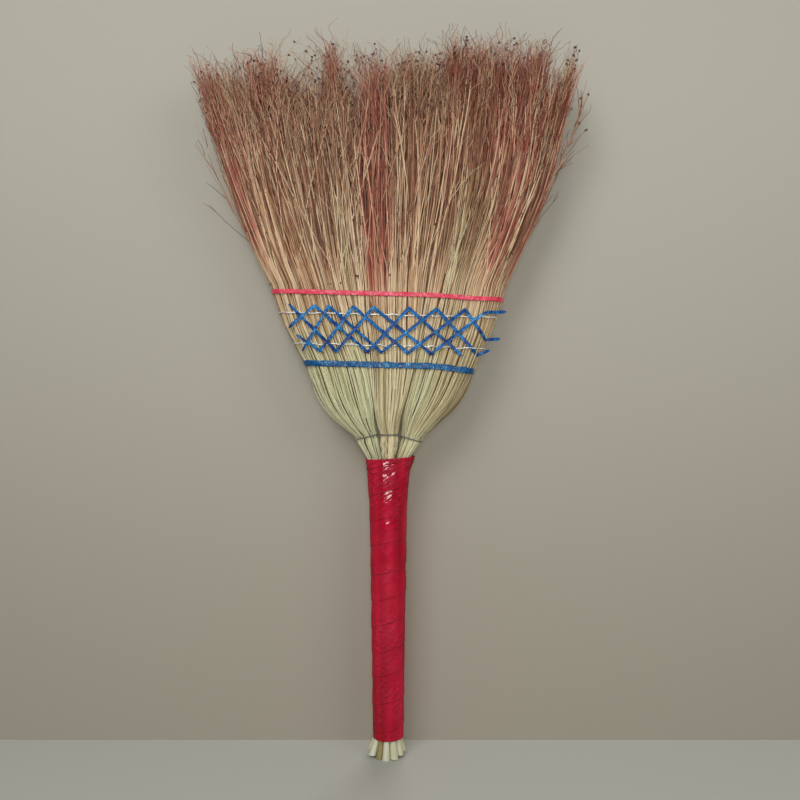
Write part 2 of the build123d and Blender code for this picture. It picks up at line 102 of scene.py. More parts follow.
# %% A material and its nodes
class Finish:
    """One material: its Principled shader and the nodes that feed it."""

    def __init__(self, name, **sockets):
        self.material = bpy.data.materials.new(name)
        self.material.use_nodes = True
        self.tree = self.material.node_tree
        self.shader = self.tree.nodes["Principled BSDF"]
        self.wear(**sockets)

    def wear(self, **sockets):
        """Feeds the shader's own sockets and gives back the material."""
        self.feed(self.shader, {key.replace("_", " "): value for key, value in sockets.items()})
        return self.material

    def feed(self, node, sockets):
        for key, value in sockets.items():
            if isinstance(value, Wire):
                self.tree.links.new(value.socket, node.inputs[key])
            else:
                node.inputs[key].default_value = value

    def node(self, kind, settings=None, sockets=None):
        node = self.tree.nodes.new("ShaderNode" + kind)
        for key, value in (settings or {}).items():
            if key == "stops":
                elements = node.color_ramp.elements
                for place, colour in value[2:]:
                    elements.new(place)
                for element, (place, colour) in zip(elements, value):
                    element.position, element.color = place, colour
            else:
                setattr(node, key, value)
        self.feed(node, sockets or {})
        return Wire(self, next(output for output in node.outputs if output.enabled))

    def place(self):
        return self.node("TexCoord").output("Object")

    def scaled(self, place, scale):
        return self.node("Mapping", {}, {"Vector": place, "Scale": scale})

    def clouds(self, place, scale, detail, distortion=0.0):
        sockets = {"Vector": place, "Scale": scale, "Detail": detail, "Distortion": distortion}
        return self.node("TexNoise", {}, sockets)

    def ramp(self, factor, *stops):
        return self.node("ValToRGB", {"stops": stops}, {0: factor})

    def mapped(self, value, start, stop, low=0.0, high=1.0, kind="SMOOTHSTEP"):
        """A value that goes from low to high between start and stop."""
        sockets = {0: value, 1: start, 2: stop, 3: low, 4: high}
        return self.node("MapRange", {"interpolation_type": kind}, sockets)

    def blend(self, factor, first, second, mode="MIX"):
        settings = {"data_type": "RGBA", "blend_type": mode, "clamp_factor": True}
        return self.node("Mix", settings, {0: factor, 6: first, 7: second})

    def bump(self, height, strength, distance, **under):
        sockets = {"Height": height, "Strength": strength, "Distance": distance, **under}
        return self.node("Bump", {}, sockets)


# %% Colours as they look on a screen
def paint(red, green, blue):
    """A colour as it looks on a screen, from 0 to 255, as the linear one of a shader."""
    screen = [channel / 255 for channel in (red, green, blue)]
    return (*(c / 12.92 if c < 0.04045 else ((c + 0.055) / 1.055) ** 2.4 for c in screen), 1.0)


print("straw yellow is", [round(channel, 3) for channel in paint(215, 190, 140)])

# %% [markdown]
# ## Floor, wall and light
# The broom stands on a plain floor close to a plain wall. Both are planes far larger than the
# view, and the floor runs on behind the wall. They are see-through from behind and for shadow
# rays, so that a camera behind the wall still sees the broom and the rear lamp reaches it.

# %% A new primitive
def start_from(primitive, name, **sizes):
    """A primitive with nothing else selected, since operators act on all that is selected."""
    bpy.ops.object.select_all(action="DESELECT")
    primitive(**sizes)
    piece = bpy.context.object
    piece.name = name
    return piece


# %% A surface that only shows its front
SHADE_FADE_HEIGHT = 0.8


def stage_finish(name, low_colour, high_colour):
    stage = Finish(name, Roughness=0.9)
    height = stage.node("SeparateXYZ", {}, {0: stage.place()}).output("Z")
    rise = stage.mapped(height, 0.0, SHADE_FADE_HEIGHT)
    stage.wear(Base_Color=stage.blend(rise, low_colour, high_colour))
    back = stage.node("NewGeometry").output("Backfacing")
    shadow = stage.node("LightPath").output("Is Shadow Ray")
    shown, clear = Wire(stage, stage.shader.outputs[0]), stage.node("BsdfTransparent")
    surface = {0: back.maths("MAXIMUM", back, shadow), 1: shown, 2: clear}
    output = stage.tree.nodes["Material Output"]
    stage.feed(output, {"Surface": stage.node("MixShader", {}, surface)})
    return stage.material


def stage_plane(name, location, rotation, finish):
    plane = start_from(
        bpy.ops.mesh.primitive_plane_add, name, size=6, location=location, rotation=rotation)
    bpy.ops.object.transform_apply(location=True, rotation=True)
    plane.data.materials.append(finish)


# The wall's colour darkens from its high colour to its low one towards its foot: painted shade. The
# floor's two colours are equal, so it is even.
wall_finish = stage_finish("plain_wall", paint(159, 152, 138), paint(179, 176, 164))
floor_finish = stage_finish("plain_floor", paint(164, 164, 156), paint(164, 164, 156))
stage_plane("floor", (0, -1.6, 0), (0, 0, 0), floor_finish)
stage_plane("wall", (0, 0.0395, 2.999), UPRIGHT, wall_finish)
print("stage pieces are ready")

# %% [markdown]
# The light is that of a plain studio: one wide lamp above and in front, a weaker one from the
# other side, a small one just behind the camera that makes the film glint, and one at the back
# for the views from there. The world fills the shadows.

# %% Lamps and world
MIDDLE_HEIGHT = 0.45


def lamp(name, place, width, height, watts, target=MIDDLE_HEIGHT):
    bpy.ops.object.light_add(type="AREA", location=place)
    light = bpy.context.object
    light.name = name
    light.data.shape = "RECTANGLE"
    light.data.size, light.data.size_y = width, height
    light.data.energy = watts
    way = Vector((0, 0, target)) - Vector(place)
    light.rotation_euler = way.to_track_quat("-Z", "Y").to_euler()


lamp("wide_lamp", (-0.7, -1.7, 1.9), 1.2, 1.2, 26.6)
lamp("side_lamp", (1.3, -1.3, 1.1), 1.0, 1.0, 7)
lamp("glint_lamp", (0.03, -1.1, 0.45), 0.16, 0.38, 3.2, 0.4)
lamp("rear_lamp", (0.4, 1.9, 1.3), 1.4, 1.4, 22)
world = bpy.data.worlds.new("soft_sky")
world.use_nodes = True
sky = world.node_tree.nodes["Background"].inputs
sky["Color"].default_value = (0.86, 0.87, 0.85, 1)
sky["Strength"].default_value = 0.27
bpy.context.scene.world = world

# %% [markdown]
# ## The outline of the three bunches
# Every bunch is round in the handle, pinched where a thread ties it, and spreads into a wide
# flat fan. A short table of heights with half widths and half depths describes that, in the
# same millimetres as the CAD model. Between its rows the sizes are interpolated and softened.
# The broom isn't quite even: a second table leans it a little, and the ties pinch it.

# %% Sizes of the bunches over their height, in millimetres
HEIGHTS = [304, 329, 347, 353, 359, 371, 380, 389, 401, 428, 473, 521]
OUTER = [21.6, 23.7, 36, 37, 44, 57, 65.5, 73, 80.5, 92.5, 115.5, 131.5]
MIDDLE = [6.0, 6.85, 10.2, 10.4, 11, 13.2, 15.2, 17.2, 19.9, 25, 33.5, 42]
CLEFT = [0.8, 0.8, 1.4, 1.6, 2.0, 1.4, 0.7, 0.3, 0.1, 0.0, 0.0, 0.0]
DEPTH = [19.1, 19.3, 17.5, 17.5, 18.7, 22.7, 24.6, 25.8, 26.7, 27, 24.5, 22]
SIDE_DEPTH = [11.8, 13.1, 16.1, 16.1, 17.7, 22.7, 24.6, 25.8, 26.7, 27, 24.5, 22]
FAN_TOP = 521
LEAN_HEIGHTS = [304, 329, 351, 371, 392, 410, 432, 461, 483, 521]
LEANS = [0, 0.6, 1.6, 0.2, 1.8, 2.8, 3.6, 2.4, 1.2, 0.6]
TIE_HEIGHTS = {-1: 353.2, 0: 355.6, 1: 350.8}

print("the outline of a bunch has", len(HEIGHTS), "rows from", HEIGHTS[0], "to", FAN_TOP, "mm")

# %% Softened sizes at every level
levels = np.linspace(HEIGHTS[0], FAN_TOP, 218)


def smooth_step(value, low, high):
    share = np.clip((value - low) / (high - low), 0, 1)
    return share * share * (3 - 2 * share)


def softened(sizes, reach=3):
    values = np.interp(levels, HEIGHTS, sizes)
    weights = np.hanning(2 * reach + 3)
    padded = np.pad(values, reach + 1, mode="edge")
    return np.convolve(padded, weights / weights.sum(), mode="valid")


outer, middle, cleft = softened(OUTER), softened(MIDDLE), softened(CLEFT)
depth, side_depth = softened(DEPTH), softened(SIDE_DEPTH)


def bunch_size(side, height):
    """(centre across, half width, half depth) of one bunch; side is -1, 0 or 1."""
    at = lambda sizes: np.interp(height, levels, sizes)
    lean = np.interp(height, LEAN_HEIGHTS, LEANS)
    pinch = 1.1 * np.exp(-((height - TIE_HEIGHTS[side]) / 3.0) ** 2)
    if side == 0:
        return lean, at(middle) - pinch, at(depth) - pinch
    half_width = (at(outer) - at(middle) - at(cleft)) / 2
    return side * (at(outer) - half_width) + lean, half_width - pinch, at(side_depth) - pinch


print("half width of the fan at 473 mm:", round(float(np.interp(473, levels, outer)), 1), "mm")

# %% [markdown]
# A straw keeps its share of the way round its bunch all the way up. So the outline, a
# rectangle with round corners, is walked once at every level and its points are kept in a
# table, from which any straw reads its place. At the ties the three bunches are round; higher
# up their straws lie side by side, so the corners between two bunches become tight there.

# %% Points round a bunch at every level
AROUND = 240
ROUND_DEPTH, ROUND_WIDTH, TIGHT = 0.75, 0.94, 2.5  # corners by depth and width, and tight, in mm


def rounded_walk(half_width, half_depth, left_corner, right_corner, count=AROUND):
    """Points at even steps round a rounded rectangle, from its front middle to the right."""
    quarter = np.linspace(-np.pi / 2, 0, 24)
    arcs = []
    for turn, (sx, sy) in enumerate(((1, -1), (1, 1), (-1, 1), (-1, -1))):
        corner = right_corner if sx > 0 else left_corner
        angle = quarter + turn * np.pi / 2
        arcs.append(np.stack((
            sx * (half_width - corner) + corner * np.cos(angle),
            sy * (half_depth - corner) + corner * np.sin(angle),
        ), axis=1))
    points = np.concatenate([[[0, -half_depth]]] + arcs + [[[0, -half_depth]]])
    lengths = np.linalg.norm(np.diff(points, axis=0), axis=1)
    steps = np.concatenate(([0], np.cumsum(lengths)))
    at = np.linspace(0, steps[-1], count, endpoint=False)
    return np.stack([np.interp(at, steps, places) for places in points.T], axis=1), steps[-1]


# %% The table of places for each bunch
outlines, girths = {}, {}
for side in SIDES.values():
    walks = []
    for height in levels:
        centre, half_width, half_depth = bunch_size(side, height)
        free = min(ROUND_DEPTH * half_depth, ROUND_WIDTH * half_width)
        joined = free + (min(free, TIGHT) - free) * smooth_step(height, 358, 388)
        left_corner, right_corner = (free if side == end else joined for end in (-1, 1))
        walks.append(rounded_walk(half_width, half_depth, left_corner, right_corner))
    outlines[side] = np.array([walk for walk, girth in walks])
    girths[side] = np.array([girth for walk, girth in walks])


def on_outline(side, share, height):
    """The place on a bunch's outline, from its centre, for shares round it and heights."""
    row = np.clip((height - levels[0]) / (levels[1] - levels[0]), 0, len(levels) - 1.001)
    column = (share % 1) * AROUND
    i, j = row.astype(int), column.astype(int) % AROUND
    u, v = (row - i)[..., None], (column - np.floor(column))[..., None]
    table, k = outlines[side], (j + 1) % AROUND
    low = table[i, j] * (1 - v) + table[i, k] * v
    high = table[i + 1, j] * (1 - v) + table[i + 1, k] * v
    return low * (1 - u) + high * u


tied_girth = float(np.interp(TIE_HEIGHTS[-1], levels, girths[-1]))
print("girth of the left bunch at its tie:", round(tied_girth), "mm")

# %% [markdown]
# Above the red ribbon the straws are free and spread like a fan. There a straw's place is
# given by two shares, one across the whole fan and one through its depth, and more rows of
# sizes say how wide and deep the fan is at each height, and how high its straws stand.

# %% The fan above the red ribbon
FAN_HEIGHTS = [521, 550, 572, 617, 661, 686, 716, 746, 772, 810]
FAN_LEFT = [131.5, 146, 155, 172, 186, 193.5, 202.5, 211, 217, 221]
FAN_RIGHT = [131.5, 145, 155, 174, 186.5, 191, 198, 204, 208, 211]
FAN_DEPTH = [22, 24, 25, 27, 28.5, 29, 29.7, 30.3, 30.6, 30.8]
FAN_TIPS = FAN_HEIGHTS[-1]
TIPS = [  # place across and the height that the longest twigs reach
    (-220, 781), (-209, 771), (-193, 779), (-160, 780), (-136, 790), (-115, 791), (-98, 795),
    (-81, 798), (-65, 801), (-48, 788), (-31, 796), (-3, 794), (13, 788), (47, 785), (65, 799),
    (113, 802), (147, 799), (178, 791), (208, 786), (218, 779),
]
DENSE = [  # place across and the height up to which the straws stand close together
    (-222, 742), (-200, 752), (-162, 750), (-156, 768), (-125, 769), (-119, 742), (-92, 734),
    (-73, 737), (-70, 782), (-59, 783), (-55, 748), (-49, 742), (-47, 699), (-36, 697),
    (-33, 764), (7, 760), (16, 760), (19, 774), (37, 774), (40, 765), (61, 764), (65, 783),
    (130, 784), (134, 776), (156, 773), (164, 785), (179, 784), (182, 728), (193, 724),
    (196, 762), (205, 762), (210, 745),
]

print(len(TIPS), "heights of tips and", len(DENSE), "of the dense line")

# %% Places in the fan
def fan_half(x, height):
    """Half width of the fan at a height, on the side where x is."""
    left, right = (np.interp(height, FAN_HEIGHTS, sizes) for sizes in (FAN_LEFT, FAN_RIGHT))
    return np.where(x < 0, left, right)


def fan_place(across, through, height):
    return across * fan_half(across, height), through * np.interp(height, FAN_HEIGHTS, FAN_DEPTH)


def dense_line(x, height=FAN_TIPS):
    """Height of the dense line above a point, followed up along the fan's own spread."""
    return np.interp(x * (fan_half(x, FAN_TIPS) / fan_half(x, height)), *zip(*DENSE))


def tip_line(across):
    """Height of the longest twigs at a share across the fan."""
    return np.interp(across * fan_half(across, FAN_TIPS), *zip(*TIPS))


print("fan width at the tips:", FAN_LEFT[-1] + FAN_RIGHT[-1], "mm")

# %% [markdown]
# ## Making thousands of straws
# A straw is a thin tapered tube along a bent line. With operators one would draw a curve,
# bevel it and turn it into a mesh, which takes hours for thousands of them. Instead, all the
# lines of a piece are arrays of numbers, and one function puts a ring of three corners round
# every point of every line at once. Each straw also carries marks, four numbers for its
# colour, and a UV map that runs along it, so that its grain follows it round every bend.

# %% Tubes round many lines at once
UV_PER_MM = 0.1


def unit(ways, least=0.0):
    """Vectors of length one; least keeps those without a length from a division by zero."""
    return ways / (np.linalg.norm(ways, axis=-1, keepdims=True) + least)


def mark_points(mesh, marks):
    colours = mesh.attributes.new("marks", "FLOAT_COLOR", "POINT")
    colours.data.foreach_set("color", marks.ravel())


def tubes(name, lines, radii, marks, sides=3):
    """A piece of closed tubes; lines (n, k, 3) and radii (n, k) in mm, marks (n, k, 4)."""
    count, length = lines.shape[:2]
    along = unit(np.gradient(lines, axis=1), 1e-9)
    across = unit(np.cross(along, (0.0, 1.0, 0.0)), 1e-9)
    upward = np.cross(along, across)
    turns = TURN * (np.arange(sides) / sides + np.linspace(0, 7.3, count)[:, None] % 1)
    turns = turns[:, None, :, None]
    ring = np.cos(turns) * across[:, :, None] + np.sin(turns) * upward[:, :, None]
    points = (lines[:, :, None] + radii[:, :, None, None] * ring).reshape(-1, 3) * MM

    straw, step, corner = np.meshgrid(
        np.arange(count), np.arange(length - 1), np.arange(sides), indexing="ij")
    number = lambda i, j, m: (i * length + j) * sides + m % sides
    quads = np.stack([number(straw, step + up, corner + aside)
                      for up, aside in ((0, 0), (0, 1), (1, 1), (1, 0))], axis=-1)
    ends = np.arange(count)[:, None]
    foot = number(ends, 0, np.arange(sides)[::-1])
    head = number(ends, length - 1, np.arange(sides))
    loops = np.concatenate((quads.ravel(), foot.ravel(), head.ravel()))
    totals = np.concatenate((np.full(quads.size // 4, 4), np.full(2 * count, sides)))

    mesh = bpy.data.meshes.new(name)
    mesh.vertices.add(len(points))
    mesh.vertices.foreach_set("co", points.ravel())
    mesh.loops.add(len(loops))
    mesh.loops.foreach_set("vertex_index", loops)
    mesh.polygons.add(len(totals))
    mesh.polygons.foreach_set("loop_start", np.concatenate(([0], np.cumsum(totals)[:-1])))
    mesh.update(calc_edges=True)
    mesh.polygons.foreach_set("use_smooth", np.ones(len(totals), bool))

    lengths = np.linalg.norm(np.diff(lines, axis=1), axis=2)
    reach = np.concatenate((np.zeros((count, 1)), np.cumsum(lengths, axis=1)), axis=1)
    turn_share = (corner[..., None] + np.array([0, 1, 1, 0])) / sides + straw[..., None] * 0.37
    length_share = reach[straw[..., None], step[..., None] + np.array([0, 0, 1, 1])] * UV_PER_MM
    side_uv = np.stack((turn_share, length_share), axis=-1).reshape(-1, 2)
    uv = np.concatenate((side_uv, np.zeros((2 * count * sides, 2))))
    mesh.uv_layers.new(name="along").data.foreach_set("uv", uv.ravel())
    mark_points(mesh, np.repeat(np.clip(marks, 0, 1).reshape(-1, 4), sides, axis=0))
    mesh.update()
    piece = bpy.data.objects.new(name, mesh)
    bpy.context.scene.collection.objects.link(piece)
    triangles = count * ((length - 1) * sides * 2 + 2 * (sides - 2))
    print(f"{name}: {count} straws, {triangles} triangles")
    return piece


# %% A finished piece: its material, body and the CAD nodes it stands for
def settle(piece, material, slot, *nodes):
    piece.data.materials.append(material)
    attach(piece, "root")
    if nodes:
        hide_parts(*nodes)
    return piece


# %% [markdown]
# ## Straw colours
# Sorghum is pale green where it is thick, tan higher up, and this broom's tips are dyed a
# dusty pink in streaks that run down some of its straws. Four marks per point say how brown,
# dyed, green and dark a straw is, and the shader mixes the colours from them. The dark mark is
# partly the real dark of husks, twig tips and some straws, and partly painted shade of the gaps
# between straws. A noise stretched along the straw's own UV map adds its fibres, and a second,
# wider one dulls it in places.

# %% Straw shader
straw = Finish("sorghum_straw", Roughness=0.62)
marks = straw.node("Attribute", {"attribute_name": "marks"})
tone = straw.node("SeparateColor", {}, {0: marks.output("Color")})
dyed, green, dark = tone.output("Green"), tone.output("Blue"), marks.output("Alpha")
along = straw.node("UVMap", {"uv_map": "along"})
fibres = straw.clouds(straw.scaled(along, (5.0, 0.35, 1.0)), 3.0, 3.0)
patches = straw.clouds(straw.place(), 55.0, 2.0)
colour = straw.ramp(tone + (patches - 0.5) * 0.5, (0.0, paint(248, 222, 182)),
                    (0.5, paint(208, 166, 118)), (1.0, paint(136, 80, 46)))
leaf = straw.blend(tone, paint(228, 229, 188), paint(172, 172, 114))
blush = straw.blend(tone, paint(232, 138, 118), paint(166, 64, 50))
colour = straw.blend(green, colour, leaf)
colour = straw.blend(dyed * (patches + 0.35), colour, blush)
# The dark red-brown is partly the real dark of husks, twig tips and some straws, and partly painted
# shade of the gaps between straws.
colour = straw.blend(dark, colour, paint(112, 46, 20))
streak = straw.mapped(fibres, 0.3, 0.7, 0.64, 1.08, "LINEAR")
shaded = straw.node("CombineColor", {}, {0: streak, 1: streak, 2: streak})
straw_material = straw.wear(
    Base_Color=straw.blend(1.0, colour, shaded, "MULTIPLY"),
    Roughness=fibres * 0.3 + 0.45,
    Normal=straw.bump(fibres, 0.5, 0.0004),
    Sheen_Weight=0.1,
)
print("straw material has", len(straw.tree.nodes), "nodes")

# %% Marks: where the straw is tan, dyed, green or dark
DYE_COLUMNS = [  # place across the fan, half width of the streak, height it starts at, strength
    (-0.08, 0.11, 500, 1.1), (-0.95, 0.09, 530, 1.0), (-0.64, 0.11, 690, 1.0),
    (-0.29, 0.05, 700, 0.9), (0.14, 0.05, 735, 0.8), (0.4, 0.13, 700, 0.95),
    (0.66, 0.14, 600, 0.95), (0.8, 0.1, 521, 1.0), (0.98, 0.06, 500, 0.8),
]
GREEN_COLUMNS = [(0.55, 0.13, 0.5), (-0.31, 0.06, 0.4)]  # place across, half width, strength
GREENNESS = {-1: 1.1, 0: 0.6, 1: 0.95}
DARKENED_SHARE = 0.29


def straw_marks(lines, rng, side, light):
    """Four colour marks for each point of a bunch's straws; light ones are pale, hardly dyed."""
    single = (len(lines), 1)
    x, z = lines[..., 0], lines[..., 2]
    across = x / np.interp(z, np.append(levels, FAN_HEIGHTS[1:]), np.append(outer, FAN_LEFT[1:]))
    tone = rng.normal(0.42, 0.4, single) + 0.12 * np.sin(z / 37 + rng.uniform(0, 6, single))
    tone = np.clip(tone, 0, 1) + 0.14 * smooth_step(z, 520, 660)
    tone = tone - 0.1 * smooth_step(z, 430, 470) * (1 - smooth_step(z, 510, 560))
    tone = tone + 0.26 * smooth_step(across, 0.2, 0.6) * smooth_step(z, 515, 570)
    tone = tone * np.where(light, 0.2, 1)

    dyed = 0.26 * smooth_step(z, 550, 690) + 0.16 * smooth_step(z, 430, 520)
    for place, reach, start, strength in DYE_COLUMNS:
        streak = np.exp(-np.abs((across - place) / reach) ** 3)
        dyed = np.maximum(dyed, strength * streak * smooth_step(z, start - 25, start + 60))
    dyed = dyed * rng.uniform(0.2, 1.5, single) * np.where(light, 0.45, 1)
    grey = np.exp(-((across - 0.17) / 0.12) ** 2) * smooth_step(z, 640, 740)
    dyed = dyed * (1 - 0.35 * grey)

    low = 1 - smooth_step(z, 405, 560) ** 0.7
    green = GREENNESS[side] * low * rng.uniform(0.6, 1.1, single)
    for place, reach, strength in GREEN_COLUMNS:
        streak = strength * np.exp(-((across - place) / reach) ** 2)
        streak = streak * (1 - smooth_step(z, 560, 690))
        green = np.maximum(green, streak * rng.uniform(0, 1.4, single))
        dyed = dyed * (1 - 0.8 * streak)
    if side == 1:
        golden = smooth_step(across, 0.5, 0.68) * smooth_step(z, 352, 372) * low
        green = green * (1 - 0.3 * golden)
        tone = tone + 0.2 * golden
    elif side == 0:
        tone = tone - 0.22 * low
    else:
        tone = tone - 0.4 * (1 - smooth_step(z, 365, 410))
    # Some straws are darker above the red ribbon: partly real dark straws, partly painted shade of
    # the gaps between them.
    darkened = (rng.uniform(0, 1, single) < DARKENED_SHARE) * (1 - light) * rng.uniform(0.4, 1, single)
    dark = darkened * smooth_step(z, 480, 580) + 0.1 * grey
    return np.stack((tone, dyed, green, np.broadcast_to(dark, tone.shape)), axis=-1)


print(len(DYE_COLUMNS), "dyed streaks and", len(GREEN_COLUMNS), "green ones")

# %% [markdown]
# ## Outer straws
# These run from inside the handle to the tips and are what the eye follows. Where the bunch is
# narrow they lie in many layers, and as it spreads the deeper ones rise to the surface, which
# is how a real fan stays full. A straw's rank decides which layer it is in at each height.
# Above the red ribbon they cross each other and gather in tufts, as loose straw does.

# %% Sizes, ends and goals of straws
RADIUS_HEIGHTS = [304, 420, 521, 560, 600, 700, 800]
RADII = [0.95, 0.92, 0.84, 0.76, 0.68, 0.46, 0.22]
TIP_TAPER, LAYER_PITCH, LAYER_DEPTH = 0.4, 1.55, 1.4  # a straw's room along and into its layer
LIGHT_OUTER, LIGHT_INNER, LIGHT_TWIGS = 0.24, 0.1, 0.32  # shares of pale straws
STRAW_DEPTH, TWIG_DEPTH, SEED_DEPTH = 33.2, 33.6, 31.9  # most that each stands out to the front
TUFTS, TUFT_ROWS = 34, 4
tuft_pull = np.random.default_rng(3).normal(0, 1, (TUFTS * TUFT_ROWS, 3))


def straw_radius(height):
    return np.interp(height, RADIUS_HEIGHTS, RADII)


def straw_ends(across, rng):
    """Heights where straws end: many just below the dense line of the fan, the rest lower."""
    count = len(across)
    kind = rng.uniform(0, 1, count)
    short = np.where(kind < 0.5, rng.uniform(-2, 30, count), rng.uniform(20, 90, count))
    short = np.where(kind > 0.8, rng.uniform(60, 190, count), short)
    return dense_line(across * fan_half(across, FAN_TIPS)) - short


def straw_goals(across, light, rng):
    """Where straws want to be at the tips, as shares: most keep their place, some cross many."""
    count = len(across)
    kind = rng.uniform(0, 1, count)
    reach = np.where(kind < 0.3, 0.14, 0.045)
    reach = np.where(light[:, 0], np.where(kind < 0.35, 0.27, 0.13), reach)
    goal = across + rng.normal(0, reach, count)
    rim = np.abs(rng.normal(0, 0.012, count)) - 1
    return np.clip(goal, rim, 1 - np.abs(rng.normal(0, 0.012, count)))


# %% Tufts, and the free part of the straws
def tuft_of(across, through, rng):
    """The tuft that a straw's tip belongs to: neighbours mostly share one."""
    column = (across + 1) / 2 * (TUFTS - 1) + rng.normal(0, 0.45, len(across))
    row = (through + 1) / 2 * 3.99 + rng.normal(0, 0.3, len(across))
    column = np.clip(np.round(column), 0, TUFTS - 1).astype(int)
    return column * TUFT_ROWS + np.clip(row, 0, TUFT_ROWS - 1).astype(int)


def free_part(across, goal, through, heights, light, rng):
    """Lines above the red ribbon, crossing each other; light ones lie on the fan's faces."""
    count = len(across)
    rise = np.clip((heights - FAN_TOP) / 250, 0, 1.1)
    pull = tuft_pull[tuft_of(goal, through, rng)]
    far = np.clip(through + rng.normal(0, 0.35, count), -1, 1)[:, None]
    far = np.where(light, np.sign(through)[:, None] * rng.uniform(0.88, 1.0, (count, 1)), far)
    s = across[:, None] + (goal - across)[:, None] * rise + 0.012 * pull[:, :1] * rise**2
    t = through[:, None] + (far - through[:, None]) * rise + 0.12 * pull[:, 1:2] * rise**2
    x, y = fan_place(np.clip(s, -1.01, 1.01), np.clip(t, -1, 1), heights)
    for wave in (190.0, 75.0, 33.0, 15.0):
        phase = rng.uniform(0, TURN, (2, count, 1))
        size = rng.uniform(0.2, 1, (2, count, 1)) * wave / 80 * rise
        x = x + size[0] * np.sin(heights / wave * TURN + phase[0])
        y = y + 0.7 * size[1] * np.sin(heights / wave * TURN + phase[1])
    return x, np.clip(y, -STRAW_DEPTH, STRAW_DEPTH)


print("straws are", 2 * max(RADII), "mm thick at most and gather in", len(tuft_pull), "tufts")

# %% Outer straws of one bunch
def grown(name, side, lines, radii, light, rng):
    radii[:, -1] *= TIP_TAPER
    return tubes(name, lines, radii, straw_marks(lines, rng, side, light)), lines


def outer_straws(name, side, count, seed):
    rng = np.random.default_rng(seed)
    single = (count, 1)
    phase = lambda: rng.uniform(0, 6.3, single)
    share = (np.arange(count) + rng.uniform(0, 1, count)) / count
    rank = rng.permutation(count) / count
    low = np.concatenate(([306, 317], np.arange(326, 358, 3), np.linspace(364, FAN_TOP, 15)))
    low = low * np.ones(single)
    wander = 0.012 * np.sin(low / 45 + phase()) * rng.uniform(0, 1, single)
    place = on_outline(side, share[:, None] + wander, low)
    centre, half_width, half_depth = bunch_size(side, low)
    layers = rank[:, None] * count * LAYER_PITCH / np.interp(low, levels, girths[side])
    size = rng.uniform(0.72, 1.2, single)
    deepest = 0.75 * np.minimum(half_width, half_depth)
    sunk = np.clip((layers - 0.9) * LAYER_DEPTH, 0, deepest) + straw_radius(low) * size
    sunk = sunk + 0.35 * (1 + np.sin(low / 29 + phase())) * rng.uniform(0, 1, single)
    crumple = 0.55 * (1 - smooth_step(low, 346, 356)) * rng.normal(0, 1, single)
    crumple = crumple * (1 if side == 0 else 0.3) * np.sin(low / 1.9 + phase())
    x = centre + place[..., 0] * (1 - sunk / half_width) + crumple
    y = place[..., 1] * (1 - sunk / half_depth)

    across, through = np.clip(x[:, -1] / outer[-1], -1, 1), y[:, -1] / depth[-1]
    light = rng.uniform(0, 1, single) < LIGHT_OUTER
    goal = straw_goals(across, light, rng)
    ends = straw_ends(goal, rng) - light[:, 0] * rng.uniform(15, 60, count)
    high = FAN_TOP + (ends[:, None] - FAN_TOP) * np.linspace(0, 1, 15)[1:]
    free_x, free_y = free_part(across, goal, through, high, light, rng)
    held_x, held_y = fan_place(across[:, None], through[:, None], high)
    ease = smooth_step(high, FAN_TOP, FAN_TOP + 40)
    x = np.concatenate((x, free_x * ease + held_x * (1 - ease)), axis=1)
    y = np.concatenate((y, free_y * ease + held_y * (1 - ease)), axis=1)
    z = np.concatenate((low, high), axis=1)
    radii = straw_radius(z) * size + 0.22 * light * smooth_step(z, 570, 690)
    return grown(name, side, np.stack((x, y, z), axis=-1), radii, light, rng)


# %% [markdown]
# ## Inner straws
# The fan would look hollow from above and at its tips with outer straws alone. The inner ones
# start just below the red ribbon and fill the whole depth.

# %% Inner straws of one bunch
def inner_straws(name, side, count, seed):
    rng = np.random.default_rng(seed)
    single = (count, 1)
    centre, half_width, half_depth = (float(v) for v in bunch_size(side, float(FAN_TOP)))
    x = centre + rng.uniform(-1, 1, count) * (half_width - 2.5)
    past = np.clip((np.abs(x - centre) / half_width - 0.6) / 0.4, 0, 1)
    y = rng.uniform(-1, 1, count) * (half_depth - 2.5) * np.sqrt(1 - 0.6 * past**2)
    across, through = x / outer[-1], y / depth[-1]
    light = rng.uniform(0, 1, single) < LIGHT_INNER
    goal = straw_goals(across, light, rng)
    ends = straw_ends(goal, rng)
    start = rng.uniform(FAN_TOP - 22, FAN_TOP - 14, single)
    z = start + (ends[:, None] - start) * np.linspace(0, 1, 15)
    x, y = free_part(across, goal, through, np.maximum(z, FAN_TOP), light, rng)
    squeeze = np.where(z < FAN_TOP, 0.94, 1.0)
    radii = straw_radius(z) * rng.uniform(0.6, 1.1, single)
    return grown(name, side, np.stack((x * squeeze, y * squeeze, z), axis=-1), radii, light, rng)


# %% [markdown]
# ## Twigs
# At its tip every straw was a seed head, so it forks into fine curly twigs. Each twig starts
# somewhere on a straw, leaves it at a small angle, bends, and ends below the line of the tips.

# %% Twigs of one bunch
def points_on(lines, step, part):
    """Places on lines, a part of the way from a step to the next, and the way between them."""
    rows = np.arange(len(lines))
    here, there = lines[rows, step], lines[rows, step + 1]
    return here * (1 - part) + there * part, there - here


